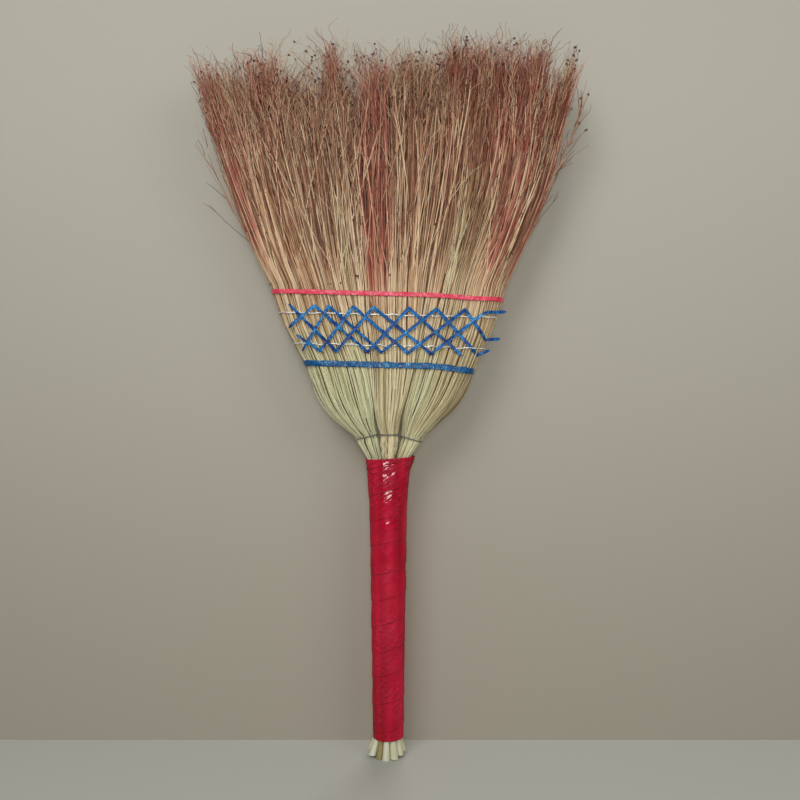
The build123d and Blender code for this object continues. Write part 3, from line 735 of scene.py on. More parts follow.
def fine_twigs(name, side, parents, per_straw, seed, longest):
    rng = np.random.default_rng(seed)
    chosen = parents[rng.integers(0, len(parents), int(len(parents) * per_straw))]
    count = len(chosen)
    spot = rng.uniform(0.5, 0.99, count) * (chosen.shape[1] - 1)
    step = np.minimum(spot.astype(int), chosen.shape[1] - 2)
    start, ahead = points_on(chosen, step, (spot - step)[:, None])
    edge = dense_line(start[:, 0], start[:, 2])
    spared = np.where(np.abs(start[:, 0] + 90) < 26, 0.85, 0.3)
    keep = (edge > 744) | (start[:, 2] < edge - 30) | (rng.uniform(0, 1, count) < spared)
    start, ahead, edge, count = start[keep], unit(ahead[keep]), edge[keep], int(keep.sum())
    single = (count, 1)
    across = start[:, 0] / np.interp(start[:, 2], FAN_HEIGHTS, FAN_RIGHT)
    calm = 1 - 0.75 * np.clip(np.abs(across), 0, 1)[:, None] ** 5
    stray = 0.16 + 0.2 * smooth_step(edge - start[:, 2], 70, 10)[:, None]
    ahead = unit(ahead + rng.normal(0, 1, (count, 3)) * stray * (1, 0.8, 0.3) * calm)
    length = rng.uniform(0.35, 1, count) * longest
    room = tip_line(np.clip(across, -1, 1)) + rng.uniform(-32, 5, count) - start[:, 2]
    length = np.minimum(length, np.maximum(room / np.maximum(ahead[:, 2], 0.4), 5))
    walk = np.linspace(0, 1, 11)[None, :, None]
    bend = rng.normal(0, 0.24, (count, 1, 3)) * (1, 0.8, 0.2) * calm[:, None]
    lines = start[:, None] + length[:, None, None] * (ahead[:, None] * walk + bend * walk**2)
    for waves, size in ((6.0, 2.2), (14.0, 1.7)):
        turn = walk * rng.uniform(0.6, 1.5, (count, 1, 1)) * waves
        turn = turn + rng.uniform(0, 6.3, (count, 1, 1))
        lines = lines + np.sin(turn) * walk * rng.normal(0, size, (count, 1, 3)) * (1, 1, 0.3)
    lines[:, 1:] += rng.normal(0, 0.6, (count, 10, 3)) * (1, 1, 0)
    lines = np.clip(lines, (-225, -TWIG_DEPTH, -np.inf), (219, TWIG_DEPTH, np.inf))
    radii = np.interp(walk[..., 0], [0, 1], [0.38, 0.22]) * rng.uniform(0.7, 1.2, single)
    marks = straw_marks(lines, rng, side, rng.uniform(0, 1, single) < LIGHT_TWIGS)
    marks[..., 3] += 0.7 * walk[..., 0] * (rng.uniform(0, 1, single) < 0.33)
    return tubes(name, lines, radii, marks), lines


# %% [markdown]
# ## Husks
# Short dark husks still cling to the straws all over the fan. A husk is too small to show its
# form, so each is a short tube with four sides, thick in its middle, laid slantwise on a straw.

# %% Husks of one bunch
def clinging_husks(name, parents, count, seed):
    rng = np.random.default_rng(seed)
    chosen = parents[rng.integers(0, len(parents), count)]
    step = rng.integers(0, chosen.shape[1] - 1, count)
    place, way = points_on(chosen, step, rng.uniform(0, 1, (count, 1)))
    place = place + rng.normal(0, 0.7, (count, 3)) * (1, 1, 0)
    way = unit(way) + rng.normal(0, 0.3, (count, 3))
    walk = np.linspace(-0.5, 0.5, 4)[None, :, None]
    lines = place[:, None] + way[:, None] * walk * rng.uniform(1.6, 3.6, (count, 1, 1))
    radii = np.array([[0.25, 0.75, 0.7, 0.2]]) * rng.uniform(0.7, 1.2, (count, 1))
    return tubes(name, lines, radii, np.zeros((count, 4, 4)) + (0.8, 0.2, 0.0, 0.85), sides=4)


# %% [markdown]
# ## Loose straws
# A few thin straws have slipped out of the bunches: they bow out between the ties and the blue
# ribbon, and curl away from the fan's two edges above the red one.

# %% Loose straws at one side
def loose_straws(name, side, seed, count=22, points=16):
    rng = np.random.default_rng(seed)
    single, walk = (count, 1), np.linspace(0, 1, points)[None, :]
    start, stop = rng.uniform(348, 356, single), rng.uniform(424, 436, single)
    z = start + (stop - start) * walk
    bow = rng.uniform(-3, 5, single) * np.sin(np.pi * walk)
    x = side * (np.interp(z, levels, outer) - 1 + bow) + np.interp(z, LEAN_HEIGHTS, LEANS)
    y = rng.uniform(-15, 15, single) * (0.75 + 0.35 * walk)
    y = y + rng.normal(0, 1.5, single) * np.sin(4 * walk)
    low = np.stack((x, y, z), axis=-1)
    foot, rise = rng.uniform(535, 690, single), rng.uniform(35, 90, single)
    z = foot + rise * walk
    x, y = fan_place(side * 0.985 + 0 * z, rng.uniform(-0.8, 0.8, single) + 0 * z, z)
    x = x + side * rng.uniform(0, 11, single) * walk**1.5
    x = x + rng.normal(0, 0.6, (count, points)) * walk
    y = y + rng.normal(0, 3, single) * walk + rng.normal(0, 0.5, (count, points)) * walk
    lines = np.concatenate((low, np.stack((x, y, z), axis=-1)))
    radii = np.interp(walk, [0, 1], [0.5, 0.26]) * rng.uniform(0.7, 1.2, (2 * count, 1))
    radii[:count] = 0.42
    light = rng.uniform(0, 1, (2 * count, 1)) < 0.2
    return tubes(name, lines, radii, straw_marks(lines, rng, side, light))


for label in ("left", "right"):
    side = SIDES[label]
    loose = loose_straws(f"{label}_loose_straws", side, 61 + side)
    settle(loose, straw_material, "straw", f"{label}_bunch")

# %% [markdown]
# ## Stray tufts
# At both edges of the fan a few forked straws stand well away from it. There are only seven,
# and the eye finds them at once, so each has its own row: foot and tip, how far it bows
# inwards, all in millimetres, and its number of twigs.

# %% Stray tufts of one side
STRAYS = {
    "left": [((-138, -12, 541), (-199, -14, 652), 1, 3), ((-150, -8, 566), (-197, -10, 609), -2, 1),
             ((-170, -10, 600), (-212, -12, 678), 3, 3), ((-182, 6, 620), (-216, 4, 704), 3, 2)],
    "right": [((158, -10, 576), (221, -13, 736), -1, 18), ((160, -4, 590), (212, -6, 704), 0, 9),
              ((150, 4, 570), (190, 2, 622), 1, 1)],
}


def stray_tuft(name, side, strays, seed):
    rng = np.random.default_rng(seed)
    walk = np.linspace(0, 1, 16)[:, None]
    lines = []
    for foot, tip, bow, twigs in strays:
        way = np.subtract(tip, foot)
        stem = foot + way * walk - np.array([side * bow, 0, 0]) * np.sin(np.pi * walk)
        lines.append(stem + rng.normal(0, 0.3, (16, 3)) * walk)
        for spot in rng.uniform(0.4, 0.9, twigs):
            ahead = unit(way) + rng.normal(0, 0.3, 3) * (1, 0.6, 0.5)
            curl = rng.normal(0, 4, 3) * (1, 0.6, 0.4)
            twig = stem[int(spot * 15)] + ahead * rng.uniform(14, 36) * walk + curl * walk**2
            lines.append(twig + rng.normal(0, 0.4, (16, 3)) * walk)
    lines = np.clip(lines, (-228, -TWIG_DEPTH, -np.inf), (224, TWIG_DEPTH, np.inf))
    radii = np.interp(walk[:, 0], [0, 1], [0.42, 0.24]) * np.ones((len(lines), 1))
    light = np.zeros((len(lines), 1), bool)
    return tubes(name, lines, radii, straw_marks(lines, rng, side, light)), lines


stray_lines = {}
for label, strays in STRAYS.items():
    side = SIDES[label]
    tuft, stray_lines[label] = stray_tuft(f"{label}_stray_tufts", side, strays, 71 + side)
    settle(tuft, straw_material, "sweeping_straw", f"{label}_bristles")

# %% [markdown]
# ## The three bunches
# Now every bunch gets its straws. The outer and the inner ones carry the twigs and the husks,
# so their lines are kept and handed on, and the twigs' own lines are kept for the seeds.

# %% All straw of the three bunches
STRAW_COUNTS = {"left": (600, 1050), "middle": (470, 900), "right": (600, 1050)}
twig_places = {}
for label, (outer_count, inner_count) in STRAW_COUNTS.items():
    side, bristles = SIDES[label], f"{label}_bristles"
    shell, shell_lines = outer_straws(f"{label}_outer_straws", side, outer_count, 11 + side)
    settle(shell, straw_material, "straw", f"{label}_bunch", bristles)
    core, core_lines = inner_straws(f"{label}_inner_straws", side, inner_count, 21 + side)
    settle(core, straw_material, "sweeping_straw", bristles)
    parents = np.concatenate((shell_lines[:, -8:], core_lines[:, -8:]))
    twigs, twig_lines = fine_twigs(f"{label}_twigs", side, parents, 1.75, 31 + side, 62)
    settle(twigs, straw_material, "sweeping_straw", bristles, f"{label}_grains")
    parents = np.concatenate((shell_lines[:, -13:], shell_lines[:, -13:], core_lines[:, -13:]))
    husks = clinging_husks(f"{label}_husks", parents, 640, 51 + side)
    settle(husks, straw_material, "grain", f"{label}_grains")
    twig_places[label] = (twig_lines, shell_lines)

# %% [markdown]
# ## Seeds
# A few dark seeds still hang on the twigs. A seed is a small ball, longer than it is wide. It
# is modelled once, from a sphere primitive with few faces, and copied to the tips of some
# twigs. The copies of one bunch are joined.

# %% Copies, joins and points
def copy_of(pattern, name):
    """A copy of a piece with a mesh of its own."""
    copy = pattern.copy()
    copy.data = pattern.data.copy()
    copy.name = name
    bpy.context.scene.collection.objects.link(copy)
    return copy


def joined_as(name, pieces):
    bpy.ops.object.select_all(action="DESELECT")
    for piece in pieces:
        piece.select_set(True)
    bpy.context.view_layer.objects.active = pieces[0]
    bpy.ops.object.join()
    pieces[0].name = name
    print(name, "has", len(pieces[0].data.polygons), "faces")
    return pieces[0]


def points_of(piece):
    flat = np.empty(len(piece.data.vertices) * 3)
    piece.data.vertices.foreach_get("co", flat)
    return flat.reshape(-1, 3)


def move_points(piece, *places):
    """Moves a piece's points to new places x, y and z in millimetres."""
    piece.data.vertices.foreach_set("co", (np.stack(places, axis=-1) * MM).ravel())
    piece.data.update()


# %% One seed
seed = start_from(
    bpy.ops.mesh.primitive_uv_sphere_add, "seed", segments=7, ring_count=5, radius=1.5)
bpy.ops.object.mode_set(mode="EDIT")
bpy.ops.mesh.select_all(action="SELECT")
bpy.ops.transform.resize(value=(0.85, 0.75, 1.3))
bpy.ops.object.mode_set(mode="OBJECT")
bpy.ops.object.shade_smooth()
seed_points = points_of(seed)
print("one seed has", len(seed.data.polygons), "faces")

# %% Seed finish and the seeds of each bunch
husk = Finish("seed_husk", Roughness=0.4)
spots = husk.clouds(husk.place(), 420.0, 2.0)
husk_colour = husk.ramp(
    spots, (0.3, paint(58, 44, 36)), (0.5, paint(86, 60, 46)), (0.75, paint(128, 92, 68)))
husk_material = husk.wear(
    Base_Color=husk_colour, Coat_Weight=0.3, Normal=husk.bump(spots, 0.3, 0.0002))


# %% Seeds on the tips of one bunch
def seeds_on(label, tips, rng):
    copies = []
    for tip in tips:
        size, (first, second) = rng.uniform(0.7, 1.25), rng.uniform(0, np.pi, 2)
        c, s, d, e = math.cos(first), math.sin(first), math.cos(second), math.sin(second)
        spun = seed_points @ np.array([[1, 0, 0], [0, c, s], [0, -s, c]])
        spun = spun @ np.array([[d, 0, e], [0, 1, 0], [-e, 0, d]])
        copies.append(copy_of(seed, "seed"))
        place = (tip[0], np.clip(tip[1], -SEED_DEPTH, SEED_DEPTH), tip[2])
        move_points(copies[-1], *(spun * size + place).T)
    settle(joined_as(f"{label}_seeds", copies), husk_material, "grain", f"{label}_grains")


# %% Tips that bear seeds in every bunch
for label, (twig_lines, straw_lines) in twig_places.items():
    rng = np.random.default_rng(len(label))
    bearing = twig_lines[rng.integers(0, len(twig_lines), 700)]
    below = tip_line(bearing[:, -1, 0] / 214) - bearing[:, -1, 2]
    bearing = bearing[(below < 70) & (below > 7)]
    reach = bearing[:, -1, 0]
    wanted = rng.uniform(reach.min(), reach.max(), (170, 1))
    bearing = bearing[np.unique(np.abs(reach - wanted).argmin(axis=1))]
    low = straw_lines[rng.integers(0, len(straw_lines), 60)]
    places = [bearing[:, -1], bearing[::2, -3], bearing[::3, -5]]
    places += [low[:6, 27], low[6:9, 20], low[9:20, -9]]
    if label == "right":
        places += [stray_lines[label][3:6, -1]]
    seeds_on(label, np.concatenate(places), np.random.default_rng(41 + len(label)))
bpy.data.objects.remove(seed)

# %% [markdown]
# ## Rolling a sheet into shape
# Film, ribbons and lacing are all long thin sheets. A grid primitive gives such a sheet with
# as many faces as wanted, and one function then moves its points: each has a share along the
# sheet and one across it, and a rule of the piece turns these into its place. Solidify gives
# the sheet its thickness.

# %% A sheet that follows a rule
def sheet_of(name, steps, rows, place, thickness):
    """A grid whose points go to place(along, across), in mm, with a thickness added."""
    piece = start_from(
        bpy.ops.mesh.primitive_grid_add, name, x_subdivisions=steps, y_subdivisions=rows, size=1)
    move_points(piece, *place(*(points_of(piece)[:, :2] + 0.5).T))
    solid = piece.modifiers.new("thickness", "SOLIDIFY")
    solid.thickness = thickness * MM
    solid.offset = 0
    bpy.ops.object.modifier_apply(modifier=solid.name)
    bpy.ops.object.shade_smooth()
    return piece


def roughness_of(points, scale, seed_number):
    """Smooth noise between about -1 and 1 at every point, points (n, 3) in mm."""
    shift = Vector((seed_number, 0, 0))
    return np.array([noise.noise(Vector(p) * scale + shift) for p in points]) * 1.8


def sloped(points, slope):
    """Points whose height changes by slope for each mm across, to slant the noise on them."""
    slanted = points.copy()
    slanted[:, 2] = points[:, 2] + slope * points[:, 0]
    return slanted


# %% [markdown]
# ## Handle film
# The handle is wound with one strip of soft shiny film. Every turn laps the one below, so its
# edges make slanting seams, the stalks underneath make faint ridges, and the stretched film
# has small creases that run across the seams. All of that is in the rule of the sheet; the two
# ends of the winding are cut off with bisect, level at the foot and slanting at the head.

# %% Film strip
BORE_HEIGHTS, BORE_RADII = [20, 143.6, 230.1], [16.6, 18.2, 19.6]
NECK_HEIGHT = 329
FILM_FOOT, FILM_HEAD, HEAD_SLANT = 20, 330, math.radians(3.5)
PITCH, STRIP_WIDTH, LIFT, FILM_TURNS, FIRST_EDGE = 29.0, 38.0, 0.4, 12.1, -18
FACETS = 11  # flat places round the handle, over the stalks beneath
FILM_THICKNESS, FILM_STEPS, FILM_ROWS = 0.16, 1000, 34


def bore(height, angle):
    """Radius of what the film is wound on: round in the grip, wide and flatter at the neck."""
    start = BORE_HEIGHTS[-1]
    rise = np.clip((height - start) / (NECK_HEIGHT - start), 0, 1.2) ** 2
    half_width = np.interp(height, BORE_HEIGHTS, BORE_RADII) + 4.8 * rise
    half_depth = np.interp(height, BORE_HEIGHTS, BORE_RADII) + 0.4 * rise
    power = 2 + np.clip(rise, 0, 1)
    c, s = np.abs(np.cos(angle)) / half_width, np.abs(np.sin(angle)) / half_depth
    spread = 4.6 * np.clip(np.cos(angle), 0, 1) ** 2 * smooth_step(height, 306, 330) ** 2
    return (c**power + s**power) ** (-1 / power) + spread


# %% The rule of the film
def film_place(along, across):
    turn = along * FILM_TURNS * TURN
    wave = np.sin(turn * 0.83 + 1.0) + np.sin(turn * 0.37)
    z = FIRST_EDGE + along * FILM_TURNS * PITCH + across * STRIP_WIDTH + 1.3 * wave
    radius = bore(z, turn) + 0.1 + LIFT * (1 - smooth_step(across, 0.24, 0.76))
    surface = np.stack((radius * np.cos(turn), radius * np.sin(turn), z), axis=-1)
    wide = roughness_of(surface, 0.045, 3.0)
    slanted = sloped(surface, -0.75)
    slanted[:, 1] = surface[:, 1] + along * FILM_TURNS * 60
    creases = roughness_of(slanted * (0.3, 0.3, 1.3), 0.2, 5.3)
    second = roughness_of(sloped(slanted, 1.6) * (0.3, 0.3, 1.1), 0.3, 9.0)
    slack = np.clip(0.5 + 0.8 * roughness_of(surface + (0, 0, 31), 0.035, 12.0), 0.1, 1)
    slack = slack + 0.5 * smooth_step(z, 235, 300)
    around = turn % TURN
    uneven = around + 0.16 * np.sin(3 * around + 1)
    corner = np.abs((uneven / TURN * FACETS) % 1 - 0.5) * 2
    radius = radius + 0.3 * wide + 0.62 * corner**2 - 0.3
    ridges = 0.26 * (1 - np.abs(creases)) ** 5 + 0.14 * (1 - np.abs(second)) ** 5
    radius = radius + (1 - smooth_step(across, 0.74, 0.8)) * slack * ridges
    return radius * np.cos(turn), radius * np.sin(turn), z


# %% The film, cut off at its two ends
film = sheet_of("wound_film", FILM_STEPS, FILM_ROWS, film_place, FILM_THICKNESS)
bpy.ops.object.mode_set(mode="EDIT")
for height, slant, above in ((FILM_FOOT, 0.0, False), (FILM_HEAD, HEAD_SLANT, True)):
    bpy.ops.mesh.select_all(action="SELECT")
    normal = (-math.sin(slant), 0, math.cos(slant))
    bpy.ops.mesh.bisect(plane_co=(0, 0, height * MM), plane_no=normal, use_fill=True,
                        clear_outer=above, clear_inner=not above)
bpy.ops.object.mode_set(mode="OBJECT")
film_heights = points_of(film)[:, 2]
print("film from", film_heights.min().round(4), "to", film_heights.max().round(4), "m")

# %% [markdown]
# The film is deep crimson, a little cloudy and streaked where it is stretched, and clear on
# top, so a coat gives it a sharp gloss. Puckers that slant over it, strongest at its head,
# break that gloss into small glints, and their crests are painted a paler pink as a painted
# highlight. A finer ripple keeps the rest lively.

# %% Film finish
crimson = Finish("crimson_film", Roughness=0.3, Coat_Roughness=0.1, Specular_IOR_Level=0.0)
film_spot = crimson.place()


def fold_lines(slant, scale):
    """Short puckers that slant over the film: 1 on their crest and 0 between them."""
    slanted = {"Vector": film_spot, "Rotation": (0.0, slant, 0.0), "Scale": (3.6, 1.6, 1.0)}
    turned = crimson.node("Mapping", {"vector_type": "TEXTURE"}, slanted)
    return crimson.mapped(crimson.clouds(turned, scale, 1.0), 0.46, 0.64)


ripple = crimson.clouds(film_spot, 520.0, 2.0)
cloud = crimson.clouds(film_spot, 34.0, 2.0)
stretch = crimson.clouds(crimson.scaled(film_spot, (1.0, 1.0, 0.07)), 95.0, 1.0)
gathered = crimson.mapped(crimson.clouds(film_spot, 46.0, 1.0), 0.4, 0.53, 0.04, 0.5)
film_height = crimson.node("SeparateXYZ", {}, {0: film_spot}).output("Z")
head = crimson.mapped(film_height, 0.25, 0.31, 0.0, 0.8)
puckers_and_painted_glint = fold_lines(-0.65, 290.0) + fold_lines(0.3, 330.0) * 0.5
puckers_and_painted_glint = puckers_and_painted_glint * head.maths("MAXIMUM", gathered, head)
film_colour = crimson.ramp(cloud * 0.35 + stretch * 0.65, (0.32, paint(146, 2, 28)),
                           (0.5, paint(170, 5, 40)), (0.68, paint(196, 12, 54)))
edge_on = crimson.node("LayerWeight", {}, {"Blend": 0.35}).output("Facing")
# The pucker crests are blended towards pale pink in the base colour: a painted highlight.
film_material = crimson.wear(
    Base_Color=crimson.blend(puckers_and_painted_glint * 0.08, film_colour, paint(226, 96, 130)),
    Roughness=cloud * 0.2 + 0.2,
    Coat_Weight=(1 - edge_on) * (cloud * 0.5 + 0.5),
    Normal=crimson.bump(ripple, 0.14, 0.0004, Normal=crimson.bump(puckers_and_painted_glint, 1.0, 0.0014)),
)
settle(film, film_material, "film", "handle_film")
print("film material has", len(crimson.tree.nodes), "nodes")

# %% [markdown]
# ## Ribbons round the fan
# Two ribbons and two threads go round all three bunches. Their rule starts from the same walk
# round a rounded rectangle as the straws, at the height where they lie, which drops a little
# towards the right as in the photograph. A ribbon also tilts with the fan's slope.

# %% Places round the fan
DROOP = math.tan(math.radians(1.5))
FAN_SLOPE, FACE_SLOPE = (132 - 95) / (521 - 425), 0.052  # of the fan's ends and of its faces
RIBBON_ROOM, THREAD_ROOM, TIE_ROOM = 0.45, 0.85, 0.3  # between the straw and a middle line
FOIL_THICKNESS, FOIL_STEPS, FOIL_ROWS = 0.3, 620, 8
print("the rings drop by", round(DROOP * 100, 1), "mm in 100")


def outward(piece):
    """Merges doubles and turns all faces outwards."""
    bpy.ops.object.select_all(action="DESELECT")
    piece.select_set(True)
    bpy.context.view_layer.objects.active = piece
    bpy.ops.object.mode_set(mode="EDIT")
    bpy.ops.mesh.select_all(action="SELECT")
    bpy.ops.mesh.remove_doubles(threshold=0.01 * MM)
    bpy.ops.mesh.normals_make_consistent(inside=False)
    bpy.ops.object.mode_set(mode="OBJECT")
    return piece


def ring_normals(ring):
    """Outward normals of a closed ring of points (n, 2)."""
    ahead = np.roll(ring, -1, axis=0) - np.roll(ring, 1, axis=0)
    return unit(np.stack((ahead[:, 1], -ahead[:, 0]), axis=-1))


def read_ring(share, ring, level, normal):
    """x, y, height and normal of a closed ring, at shares of the way round it."""
    steps = np.linspace(0, 1, len(level) + 1)
    columns = (*ring.T, level, *normal.T)
    return [np.interp(share, steps, np.append(column, column[0])) for column in columns]


def circle_of(share):
    angle = share * TURN
    return np.stack((np.cos(angle), np.sin(angle), 0 * angle), axis=-1)


# %% A ring round the fan
def fan_ring(height, room, sag=0.0, count=720):
    """A ring round the fan, drooping and pushed out by room; its right end sags."""
    half_width, half_depth = (float(np.interp(height, levels, sizes)) for sizes in (outer, depth))
    corner = ROUND_DEPTH * half_depth
    ring, girth = rounded_walk(half_width, half_depth, corner, corner, count)
    z = height - ring[:, 0] * DROOP - sag * smooth_step(ring[:, 0], 40, 100)
    lean = np.interp(z, LEAN_HEIGHTS, LEANS)
    scale = np.interp(z, levels, outer) / half_width
    thick = np.interp(z, levels, depth) / half_depth
    normal = ring_normals(ring)
    ring = ring * np.stack((scale, thick), axis=-1) + np.stack((lean, 0 * lean), axis=-1)
    return ring + normal * room, z, normal, girth


# %% A ribbon round the fan
def ribbon_round(name, height, sag, width, seed_number, material, slot, node):
    *ring, girth = fan_ring(height, RIBBON_ROOM, sag)

    def place(along, across):
        x, y, z, nx, ny = read_ring(along, *ring)
        walk = circle_of(along) * girth / 6.28
        edge = 0.09 * roughness_of(walk, 0.12, seed_number)
        up = (across - 0.5) * width * (1 + edge)
        foil = walk + np.stack((0 * up, 0 * up, up * 1.6), axis=-1)
        folds, fine = (roughness_of(foil, scale, seed_number + more)
                       for scale, more in ((0.33, 4), (0.9, 9)))
        out = 0.28 * folds + 0.16 * fine + 0.25 * np.cos(up / width * np.pi)
        out = out + (np.abs(nx) * FAN_SLOPE - np.abs(ny) * FACE_SLOPE) * up
        return x + nx * out, y + ny * out, z + up + 0.25 * edge * width

    ribbon = sheet_of(name, FOIL_STEPS, FOIL_ROWS, place, FOIL_THICKNESS)
    settle(outward(ribbon), material, slot, node)


# %% [markdown]
# Foil ribbon is crumpled all over: it is darker and brighter in patches, partly its own crumpled
# tone and partly painted sheen, and along its sharp small folds a pale painted highlight gleams.
# Both come from noises, and the wide one also drives the bump.

# %% Foil finishes and the two ribbons
def foil_finish(name, deep, bright, glint_colour, metallic):
    foil = Finish(name, Coat_Roughness=0.1, Specular_IOR_Level=0.2)
    place = foil.place()
    wide, fine = foil.clouds(place, 130.0, 3.0, 0.4), foil.clouds(place, 900.0, 2.0)
    thin = foil.clouds(place, 240.0, 2.0, 1.0) - 0.5
    fold = foil.mapped(thin.maths("ABSOLUTE", thin), 0.0, 0.02, 0.9, 0.0)
    painted_gleam = foil.mapped(wide, 0.5, 0.6, kind="LINEAR")
    return foil.wear(
        Base_Color=foil.blend(fold * painted_gleam, foil.ramp(wide, (0.35, deep), (0.68, bright)), glint_colour),
        Metallic=metallic,
        Roughness=wide * 0.3 + 0.25,
        Coat_Weight=0.25,
        Normal=foil.bump(fine, 0.2, 0.0003, Normal=foil.bump(wide, 0.6, 0.0012)),
    )


# The third colour of each foil is its painted highlight along the folds; the brighter patches are
# partly painted sheen.
blue_material = foil_finish(
    "blue_foil", paint(0, 66, 116), paint(4, 94, 146), paint(160, 210, 226), 0.0)
red_material = foil_finish(
    "pink_red_foil", paint(210, 50, 78), paint(228, 88, 106), paint(250, 190, 214), 0.0)
lacing_material = foil_finish(
    "royal_blue_foil", paint(0, 44, 108), paint(6, 112, 182), paint(120, 214, 240), 0.2)
ribbon_round("blue_band", 431.8, 4.2, 6.4, 1.0, blue_material, "blue_foil", "blue_ribbon")
ribbon_round("red_band", 509.4, 2.4, 4.9, 7.0, red_material, "red_foil", "red_ribbon")
print("two ribbons go round the fan")

# %% [markdown]
# ## Lacing
# Four narrow blue foil ribbons zigzag between the two threads on the front and the back. Every
# run goes straight from one stitch to the next, over or under its neighbours. Two layers are
# enough for that: falling runs lie in the lower one and rising runs in the upper one.

# %% Stitch points of each ribbon, as shares of the fan's half width and of the rows' height
LACES = {
    "first": [(-0.93, 1.0), (-0.486, 0.0), (-0.137, 1.0), (0.41, 0.0), (0.92, 0.95)],
    "second": [(-0.93, 0.52), (-0.694, 1.0), (-0.19, 0.0), (0.197, 1.0), (0.69, 0.0)],
    "third": [(-0.8, 0.02), (-0.56, 1.0), (-0.06, 0.0), (0.462, 1.0), (0.85, 0.0)],
    "fourth": [(-0.85, 0.33), (-0.64, 0.0), (-0.325, 1.0), (0.19, 0.0), (0.732, 1.0), (0.93, 0.35)],
}
TAILS = {"first": (1.13, 0.99), "third": (0.97, 0.12), "fourth": (1.07, 0.38)}
LACE_REACH, LACE_FOOT, LACE_RISE, LACE_WIDTH = 114.5, 445.2, 49, 3.7
LOWER_LAYER, UPPER_LAYER, PAST_STITCH = 1.75, 2.35, 1.8
LACE_THICKNESS, LACE_STEPS_PER_MM, LACE_ROWS = 0.22, 1.3, 5
print(sum(len(shares) for shares in LACES.values()), "stitch points")


def lace_point(across, up):
    x = across * LACE_REACH
    return np.array([x, LACE_FOOT + LACE_RISE * up - x * DROOP])


def face_depth(x, z):
    """Half depth of the fan's face at x and z, round at its two ends."""
    half_width, half_depth = np.interp(z, levels, outer), np.interp(z, levels, depth)
    corner = ROUND_DEPTH * half_depth
    past = np.clip((np.abs(x) - (half_width - corner)) / corner, 0, 0.8)
    return half_depth * (0.25 + 0.75 * np.sqrt(1 - past**2))


# %% One run of lacing
def lace_run(start, end, layer, back, seed_number, loose=False):
    """One straight run that dives into the straw at its ends; a loose one only at its start."""
    reach = np.linalg.norm(end - start)
    direction = (end - start) / reach
    aside = np.array([-direction[1], direction[0]])

    def place(along, across):
        side = (across - 0.5) * LACE_WIDTH
        walk = np.stack((along * reach, side, 0 * along), axis=-1)
        twist = roughness_of(walk * (0.06, 0.0, 0.0), 1.0, seed_number)
        folds = roughness_of(walk * (0.25, 1.2, 1.0), 0.8, seed_number + 3)
        edge = np.minimum(along, 1 - along)
        point = np.clip(edge * reach / 3.2, 0, 1)
        width = (1 - 0.36 * np.clip(np.abs(twist), 0, 1.4)) * (0.3 + 0.7 * point)
        line = start + direction * (along * reach)[:, None]
        line = line + aside * (side * width + 0.25 * twist)[:, None]
        sink = np.clip(1 - (along if loose else edge) * reach / 5, 0, 1) ** 2
        level = face_depth(line[:, 0], line[:, 1]) + layer + 0.16 * folds
        level = level - 1.2 * sink + 0.35 * np.sin(side * 2.1 + 3 * twist)
        return line[:, 0], level if back else -level, line[:, 1]

    steps = int(reach * LACE_STEPS_PER_MM)
    return outward(sheet_of("run", steps, LACE_ROWS, place, LACE_THICKNESS))


# %% The four laces, front and back
for number, (label, shares) in enumerate(LACES.items()):
    points = [lace_point(*share) for share in shares]
    runs = []
    for back in (False, True):
        for step, (start, end) in enumerate(zip(points, points[1:])):
            layer = LOWER_LAYER if end[1] < start[1] else UPPER_LAYER
            past = (end - start) / np.linalg.norm(end - start) * PAST_STITCH
            seed_number = number * 17 + step * 3.7 + back
            runs.append(lace_run(start - past, end + past, layer, back, seed_number))
    if label in TAILS:
        tail = lace_point(*TAILS[label])
        runs.append(lace_run(points[-1], tail, UPPER_LAYER, False, number + 60, True))
    lace = joined_as(f"{label}_lace", runs)
    settle(lace, lacing_material, "blue_foil", f"lacing_ribbon_{label}")

# %% [markdown]
# ## Threads and ties
# A torus primitive is a thread that is already closed. Its points are moved so that its big
# circle follows the fan, or one bunch at its neck, while its small circle stays round.

# %% A closed thread along a ring
THIN = 0.1


def thread_round(name, ring, radius, waves, seed_number):
    piece = start_from(bpy.ops.mesh.primitive_torus_add, name, major_segments=480,
                       minor_segments=8, major_radius=1, minor_radius=THIN)
    x, y, z = points_of(piece).T
    share = (np.arctan2(y, x) / TURN) % 1
    out, up = (np.hypot(x, y) - 1) * radius / THIN, z * radius / THIN
    circle = circle_of(share)
    up = up + waves * roughness_of(circle * 9, 1.0, seed_number)
    out = out + 0.35 * waves * roughness_of(circle * 14, 1.0, seed_number + 5)
    x, y, level, nx, ny = read_ring(share, *ring)
    move_points(piece, x + nx * out, y + ny * out, level + up)
    bpy.ops.object.shade_smooth()
    return outward(piece)


# %% [markdown]
# The two threads round the fan are clear plastic with a silvery look, whose brighter streaks are
# painted sheen; the ties are dull dark twine, whose twist is a wave that runs slantwise over it.

# %% Thread finishes
silver = Finish("silvery_thread", Roughness=0.22, Metallic=0.25)
sheen = silver.clouds(silver.place(), 260.0, 2.0)
# Painted sheen: the thread's colour goes from pale grey to near white along the sheen noise.
silver_material = silver.wear(
    Base_Color=silver.ramp(sheen, (0.35, paint(196, 202, 200)), (0.65, paint(246, 246, 242))),
    Coat_Weight=0.6, Normal=silver.bump(sheen, 0.4, 0.0005))
twine = Finish("dark_thread", Roughness=0.55)
twist = {"Vector": twine.place(), "Scale": 900.0, "Distortion": 1.5}
twist = twine.node("TexWave", {"bands_direction": "DIAGONAL"}, twist)
twine_material = twine.wear(
    Base_Color=twine.ramp(twist, (0.2, paint(88, 85, 84)), (0.8, paint(142, 138, 134))),
    Normal=twine.bump(twist, 0.5, 0.0004))
print("thread finishes have", len(silver.tree.nodes), "and", len(twine.tree.nodes), "nodes")

